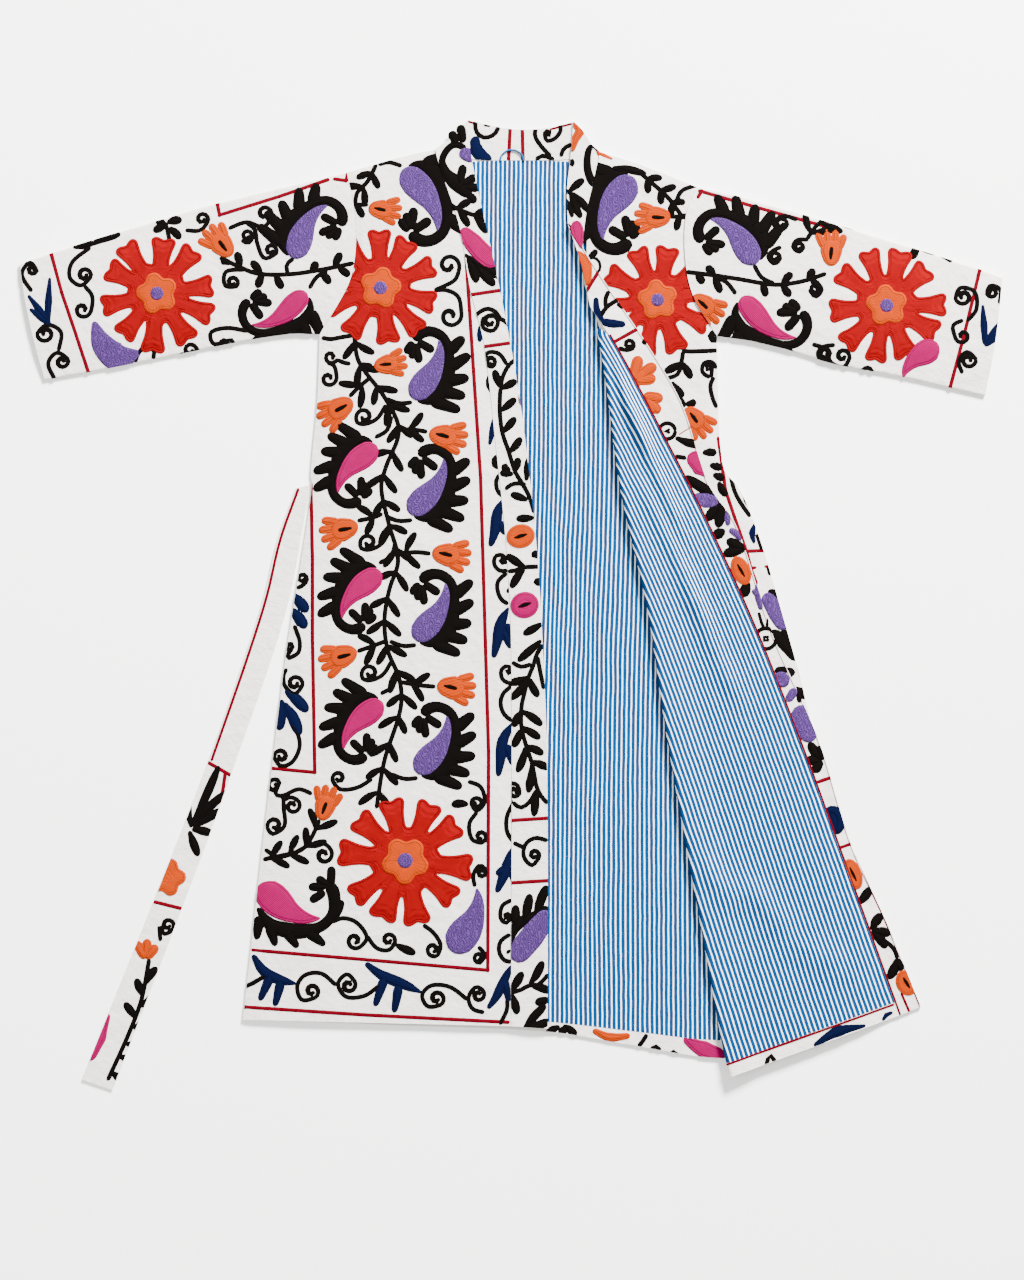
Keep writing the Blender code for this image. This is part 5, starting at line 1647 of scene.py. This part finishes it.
def embroider_right_sleeve(work):
    work.rosette(*(-442, 389), 73, 12)
    work.line((-575, 441), (-561, 390), (-544, 340), (-525, 282))
    work.line((-367, 502), (-364, 487), (-290, 510), (-229, 531))
    work.line((-220, 532), (-206, 530), (-203, 542))
    work.boteh(*between((-271, 430), (-229, 499), BOTEH_SPAN, -1))
    work.boteh(*between((-255, 393), (-324, 350), BOTEH_SPAN, -1), thread="pink", slim=0.86)
    work.drop(((-521, 354), (-510, 326), (-491, 310), (-463, 315)), (3, 14, 19, 3), "lilac")
    work.stem((-455, 326), (-465, 315), (-470, 303))
    work.stem((-454, 326), (-446, 318), (-447, 307))
    work.tulip(*between((-349, 437), (-381, 472), TULIP_SPAN))
    work.stem((-364, 434), (-345, 425), (-317, 414), (-276, 413), (-235, 419), (-196, 427))
    work.leaves((((-349, 427), (-361, 430)), ((-337, 422), (-342, 439)), ((-311, 414), (-323, 428)),
            ((-309, 414), (-316, 398)), ((-294, 413), (-286, 397)), ((-250, 416), (-242, 427)),
            ((-238, 418), (-227, 403)), ((-221, 421), (-213, 438)), ((-216, 421), (-203, 412))), half=4.8)
    work.stem((-279, 414), (-280, 425), (-271, 433))
    work.stem((-229, 418), (-243, 409), (-252, 395))
    work.scroll((-308, 489), (-299, 485), (-309, 472), (-330, 478), (-353, 470))
    work.scroll((-330, 461), (-323, 458), (-328, 452), (-337, 456))
    work.scroll((-300, 443), (-293, 439), (-308, 433), (-317, 452), (-320, 469), (-331, 478))
    work.scroll((-348, 403), (-342, 398), (-357, 399), (-356, 416), (-331, 419))
    work.scroll((-533, 412), (-524, 411), (-537, 399), (-551, 409), (-548, 428), (-525, 447))
    work.scroll((-535, 369), (-524, 368), (-523, 386), (-533, 399))
    work.scroll((-386, 482), (-378, 480), (-388, 468), (-407, 468))
    work.stem((-444, 478), (-433, 478), (-426, 454))
    work.leaves((((-430, 476), (-445, 468)), ((-430, 478), (-413, 481)), ((-427, 472), (-414, 459)),
            ((-547, 447), (-524, 452)), ((-524, 450), (-492, 462))), half=4.8)
    work.scroll((-598, 419), (-592, 417), (-601, 428), (-611, 413), (-598, 391))
    for root, tip in (((-579, 351), (-576, 409)), ((-576, 351), (-603, 387)), ((-575, 350), (-601, 370))):
        work.stroke((root, tip), (4, 5.5, 2), "navy")
    work.scroll((-581, 339), (-592, 338), (-579, 350), (-562, 341), (-565, 317))
    work.scroll((-561, 304), (-553, 307), (-567, 315), (-578, 302), (-570, 282))
    work.scroll((-401, 318), (-392, 315), (-403, 307), (-413, 315))
    work.scroll((-357, 326), (-348, 331), (-371, 326), (-375, 340), (-355, 346), (-328, 342))


def embroider_left_sleeve(work):
    work.line((236, 517), (313, 495), (392, 473))
    work.line((394, 480), (393, 469))
    work.line((234, 510), (238, 517))
    work.boteh(*between((306, 423), (249, 482), BOTEH_SPAN))
    work.boteh(*between((287, 387), (356, 334), BOTEH_SPAN), thread="pink", slim=0.86)
    work.tulip(*between((227, 385), (264, 356), TULIP_SPAN))
    work.stem((218, 416), (251, 412), (284, 407), (329, 400), (363, 404), (394, 414))
    work.leaves((((255, 411), (245, 422)), ((231, 414), (240, 403)), ((253, 410), (261, 392)),
            ((313, 403), (318, 387)), ((338, 401), (348, 387)), ((338, 402), (350, 413)),
            ((370, 406), (378, 418)), ((374, 407), (385, 396))), half=4.8)
    work.stem((303, 425), (313, 409), (329, 401))
    work.stem((255, 410), (269, 403), (281, 388))
    work.tulip(*between((400, 424), (400, 470), TULIP_SPAN))
    work.scroll((337, 476), (345, 474), (336, 468), (328, 477), (340, 486), (358, 481))
    work.scroll((359, 447), (365, 445), (359, 441), (352, 448), (358, 456), (372, 456))
    work.scroll((329, 434), (336, 432), (329, 426), (321, 435), (328, 443), (338, 447))
    work.scroll((380, 394), (388, 392), (380, 385), (372, 395))
    work.scroll((392, 313), (399, 316), (392, 304), (383, 313), (389, 322), (405, 325))
    work.rosette(*(469, 374), 73, 4)
    work.boteh(*between((536, 325), (490, 284), BOTEH_SPAN), thread="pink", mantle=False, slim=1.3)
    work.line((588, 429), (568, 346), (546, 262))
    for root, tip in (((592, 325), (589, 375)), ((592, 325), (616, 359)), ((591, 324), (615, 341))):
        work.stroke((root, tip), (4, 5.5, 2), "navy")
    work.scroll((601, 391), (594, 389), (599, 399), (611, 394), (610, 376))
    work.scroll((571, 306), (581, 306), (569, 316), (559, 304), (564, 289))
    work.scroll((565, 385), (555, 382), (561, 396), (579, 391), (581, 369), (569, 354))
    work.scroll((564, 336), (554, 336), (552, 349), (565, 356))
    work.scroll((414, 311), (422, 306), (414, 296), (399, 304), (394, 319), (376, 326))
    work.scroll((446, 291), (439, 289), (446, 281), (459, 289))
    work.vine(((369, 456), (384, 476), (409, 486)), 10.0, 18.0)
    work.leaf((506, 449), (530, 441), half=4.8)
    work.leaf((509, 449), (501, 434), half=4.8)
    work.stem((492, 456), (524, 446), (551, 429))


def embroider_belt():
    work = Embroidery(61)
    work.stroke([(row[0] + 3.6, row[1]) for row in BELT[:5]], (2.1,), "crimson", 0.6, spacing=8.0)
    work.line((-378, -197), (-348, -214))
    work.line((-357, -210), (-362, -245))
    work.leaves((((-399, -275), (-369, -210)), ((-398, -276), (-360, -238)), ((-397, -278), (-364, -258)),
            ((-399, -280), (-375, -285)), ((-402, -282), (-392, -310)), ((-399, -278), (-404, -230))),
            half=5.0)
    work.lobed(*(-430, -340), 24.0, 5, 0.22, 0.0, "orange", 1.1)
    work.line((-445, -371), (-405, -381))
    work.scroll((-429, -400), (-422, -405), (-433, -411), (-439, -400), (-438, -420))
    work.fingers((((-457, -442), (-469, -420)), ((-457, -442), (-454, -417)), ((-456, -442), (-442, -425))),
            "orange", 6.0)
    work.stem((-452, -442), (-462, -494), (-479, -539), (-504, -594))
    work.leaves((((-457, -474), (-444, -455)), ((-459, -489), (-467, -469)), ((-462, -502), (-447, -489)),
            ((-467, -517), (-481, -499)), ((-472, -529), (-454, -522)), ((-481, -549), (-462, -549)),
            ((-489, -564), (-474, -569)), ((-499, -584), (-486, -594))), half=4.8)
    work.drop(((-504, -509), (-516, -534), (-529, -569)), (5, 13, 8), "pink")
    work.clip("x", Edge([row[:2] for row in BELT]), 1.0)
    work.clip("x", Edge([row[2:] for row in BELT]), -1.0)
    work.clip("y", Edge(((-560, -606), (-536, -593), (-498, -606), (-480, -610))), 1.0)
    return work.finish("belt_embroidery", flat(DOUBLED), "border")


def embroider_sleeve(side, draw):
    """Embroider both faces of a sleeve; the lower one repeats the drawing, less raised."""
    left, right, upper, under = sleeve_edges(side)
    for face, height in (("upper", Embroidery.HEIGHT), ("lower", UNDER_HEIGHT)):
        work = Embroidery(53, height)
        draw(work)
        work.clip("x", left, 1.0)
        work.clip("x", right, -1.0)
        rim = 0.0 if face == "upper" else 3.0
        work.clip("y", Edge(moved(upper.points, 0.0, -rim)), -1.0)
        work.clip("y", Edge(moved(under.points, 0.0, rim)), 1.0)
        if face == "upper":
            work.finish(f"sleeve_{side}_embroidery", lambda x, y: sleeve_top(x, y, upper, under))
        else:
            work.finish(f"sleeve_{side}_under_embroidery", flat(UNDER_RELIEF), upward=-1.0)


class CoatClothSettings(bpy.types.PropertyGroup):
    """Colours and sizes of the cloth."""

    cotton: bpy.props.FloatVectorProperty(
        name="Cotton", description="Colour of the coat's cotton", default=(0.69, 0.66, 0.615),
        subtype="COLOR", size=3, min=0.0, max=1.0)
    cotton_shade: bpy.props.FloatVectorProperty(
        name="Cotton shade", description="Darker tone that the cotton varies to", default=(0.55, 0.52, 0.48),
        subtype="COLOR", size=3, min=0.0, max=1.0)
    blue: bpy.props.FloatVectorProperty(
        name="Stripe", description="Colour of the lining's stripes", default=(0.0008, 0.036, 0.125),
        subtype="COLOR", size=3, min=0.0, max=1.0)
    deep_blue: bpy.props.FloatVectorProperty(
        name="Stripe shade", description="Darker tone of the stripes", default=(0.0006, 0.020, 0.080),
        subtype="COLOR", size=3, min=0.0, max=1.0)
    white: bpy.props.FloatVectorProperty(
        name="Lining", description="Ground colour of the lining", default=(0.80, 0.82, 0.83),
        subtype="COLOR", size=3, min=0.0, max=1.0)
    stripe_pitch: bpy.props.FloatProperty(
        name="Stripe pitch", description="Distance from stripe to stripe", default=STRIPE_PITCH * MM,
        unit="LENGTH", min=0.001, max=0.05)


class CoatThreadSettings(bpy.types.PropertyGroup):
    """Colours of the embroidery threads."""

    red: bpy.props.FloatVectorProperty(
        name="Red", description="Thread of the large flowers", default=(0.150, 0.0004, 0.0018),
        subtype="COLOR", size=3, min=0.0, max=1.0)
    orange: bpy.props.FloatVectorProperty(
        name="Orange", description="Thread of the small flowers", default=(0.28, 0.026, 0.0002),
        subtype="COLOR", size=3, min=0.0, max=1.0)
    pink: bpy.props.FloatVectorProperty(
        name="Pink", description="Thread of the pink drops", default=(0.185, 0.0002, 0.046),
        subtype="COLOR", size=3, min=0.0, max=1.0)
    lilac: bpy.props.FloatVectorProperty(
        name="Lilac", description="Looped thread of the lilac drops", default=(0.054, 0.024, 0.108),
        subtype="COLOR", size=3, min=0.0, max=1.0)
    black: bpy.props.FloatVectorProperty(
        name="Black", description="Thread of the stems and leaves", default=(0.0020, 0.0014, 0.0011),
        subtype="COLOR", size=3, min=0.0, max=1.0)
    navy: bpy.props.FloatVectorProperty(
        name="Navy", description="Thread of the border leaves", default=(0.0014, 0.0027, 0.017),
        subtype="COLOR", size=3, min=0.0, max=1.0)
    crimson: bpy.props.FloatVectorProperty(
        name="Crimson", description="Thread of the frame lines", default=(0.085, 0.0004, 0.0040),
        subtype="COLOR", size=3, min=0.0, max=1.0)


class CoatStageSettings(bpy.types.PropertyGroup):
    """The floor and the camera."""

    floor: bpy.props.FloatVectorProperty(
        name="Floor", description="Colour of the floor", default=(0.97, 0.965, 0.955),
        subtype="COLOR", size=3, min=0.0, max=1.0)
    camera_height: bpy.props.FloatProperty(
        name="Camera height", description="Height of the camera above the floor", default=6.0,
        unit="LENGTH", min=1.0, max=20.0)
    frame_height: bpy.props.FloatProperty(
        name="Frame height", description="Length of floor that the picture shows", default=1.6,
        unit="LENGTH", min=0.5, max=5.0)


class COAT_OT_stage(bpy.types.Operator):
    """Lay the floor and set the lights and the camera"""

    bl_idname = "coat.stage"
    bl_label = "Stage"

    def execute(self, context):
        settings = context.scene.coat_stage
        mesh = bmesh.new()
        bmesh.ops.create_grid(mesh, x_segments=4, y_segments=4, size=6.0)
        data = bpy.data.meshes.new("floor")
        mesh.to_mesh(data)
        mesh.free()
        floor = bpy.data.objects.new("floor", data)
        context.scene.collection.objects.link(floor)
        material, tree, shader = new_finish("floor_paper", 0.9)
        noise = link_nodes(tree, "ShaderNodeTexNoise", {"Scale": 400.0, "Detail": 2.0})
        shade = tuple(0.99 * part for part in settings.floor)
        tone = mixed(tree, noise.outputs["Fac"], (*shade, 1.0), (*settings.floor, 1.0))
        tree.links.new(tone, shader.inputs["Base Color"])
        data.materials.append(material)
        world = bpy.data.worlds.new("studio")
        world.use_nodes = True
        world.node_tree.nodes["Background"].inputs["Color"].default_value = (1.0, 1.0, 1.0, 1.0)
        world.node_tree.nodes["Background"].inputs["Strength"].default_value = 1.1
        context.scene.world = world
        for name, place, aim, size, power in (
                ("key", (2.6, 5.4, 3.4), (0.0, 0.0, 0.0), 1.8, 4200.0),
                ("fill", (-2.0, -0.8, 2.8), (0.0, 0.0, 0.0), 2.0, 70.0)):
            lamp = bpy.data.lights.new(name, "AREA")
            lamp.shape = "DISK"
            lamp.size = size
            lamp.energy = power
            light = bpy.data.objects.new(name, lamp)
            light.location = place
            direction = np.subtract(aim, place)
            pan = math.atan2(direction[0], -direction[1])
            tilt = math.acos(-direction[2] / np.linalg.norm(direction))
            light.rotation_euler = (tilt, 0.0, pan + math.pi)
            context.scene.collection.objects.link(light)
        camera_data = bpy.data.cameras.new("camera")
        camera_data.sensor_width = 36.0
        camera_data.lens = camera_data.sensor_width * settings.camera_height / settings.frame_height
        camera_data.clip_end = 50.0
        camera = bpy.data.objects.new("camera", camera_data)
        camera.location = (0.00125, -0.04375, settings.camera_height)
        context.scene.collection.objects.link(camera)
        context.scene.camera = camera
        return {"FINISHED"}


class COAT_OT_body(bpy.types.Operator):
    """Lay the back, the fronts and the neck band"""

    bl_idname = "coat.body"
    bl_label = "Body panels"

    def execute(self, context):
        add_back()
        add_right_front()
        add_left_front()
        add_neck_band()
        return {"FINISHED"}


class COAT_OT_bands(bpy.types.Operator):
    """Sew the front bands and the facings"""

    bl_idname = "coat.bands"
    bl_label = "Bands and facings"

    def execute(self, context):
        add_right_band()
        add_left_band()
        add_left_facing()
        add_back_hem_facing()
        add_left_hem_facing()
        return {"FINISHED"}


class COAT_OT_linings(bpy.types.Operator):
    """Lay the striped linings"""

    bl_idname = "coat.linings"
    bl_label = "Linings"

    def execute(self, context):
        add_back_lining()
        add_left_lining()
        add_loop()
        return {"FINISHED"}


class COAT_OT_sleeves(bpy.types.Operator):
    """Lay the two sleeves and the belt"""

    bl_idname = "coat.sleeves"
    bl_label = "Sleeves and belt"

    def execute(self, context):
        add_sleeve("right")
        add_sleeve("left")
        add_belt()
        return {"FINISHED"}


class COAT_OT_embroidery(bpy.types.Operator):
    """Embroider every panel of the coat"""

    bl_idname = "coat.embroidery"
    bl_label = "Embroidery"

    def execute(self, context):
        embroider_right_front()
        embroider_right_band()
        embroider_neck_band()
        embroider_left_band()
        embroider_left_front()
        embroider_facing()
        embroider_hem_facings()
        embroider_left_hem()
        embroider_back("right")
        embroider_back("left")
        embroider_sleeve("right", embroider_right_sleeve)
        embroider_sleeve("left", embroider_left_sleeve)
        embroider_belt()
        return {"FINISHED"}


class COAT_PT_panel(bpy.types.Panel):
    """Lists the coat's settings and building steps in the sidebar"""

    bl_label = "Embroidered coat"
    bl_idname = "COAT_PT_panel"
    bl_space_type = "VIEW_3D"
    bl_region_type = "UI"
    bl_category = "Coat"

    def draw(self, context):
        layout = self.layout
        for settings in (context.scene.coat_cloth, context.scene.coat_threads, context.scene.coat_stage):
            box = layout.box()
            for name in settings.bl_rna.properties.keys():
                if name not in ("rna_type", "name"):
                    box.prop(settings, name)
        for operator in OPERATORS:
            layout.operator(operator.bl_idname)


SETTINGS = {"coat_cloth": CoatClothSettings, "coat_threads": CoatThreadSettings,
            "coat_stage": CoatStageSettings}
OPERATORS = (COAT_OT_stage, COAT_OT_body, COAT_OT_bands, COAT_OT_linings, COAT_OT_sleeves, COAT_OT_embroidery)


def register():
    for item in (*SETTINGS.values(), *OPERATORS, COAT_PT_panel):
        bpy.utils.register_class(item)
    for name, kind in SETTINGS.items():
        setattr(bpy.types.Scene, name, bpy.props.PointerProperty(type=kind))


def unregister():
    for name in SETTINGS:
        delattr(bpy.types.Scene, name)
    for item in reversed((*SETTINGS.values(), *OPERATORS, COAT_PT_panel)):
        bpy.utils.unregister_class(item)


def main():
    register()
    bpy.ops.coat.stage()
    bpy.ops.coat.body()
    bpy.ops.coat.bands()
    bpy.ops.coat.linings()
    bpy.ops.coat.sleeves()
    bpy.ops.coat.embroidery()


if __name__ == "__main__":
    main()
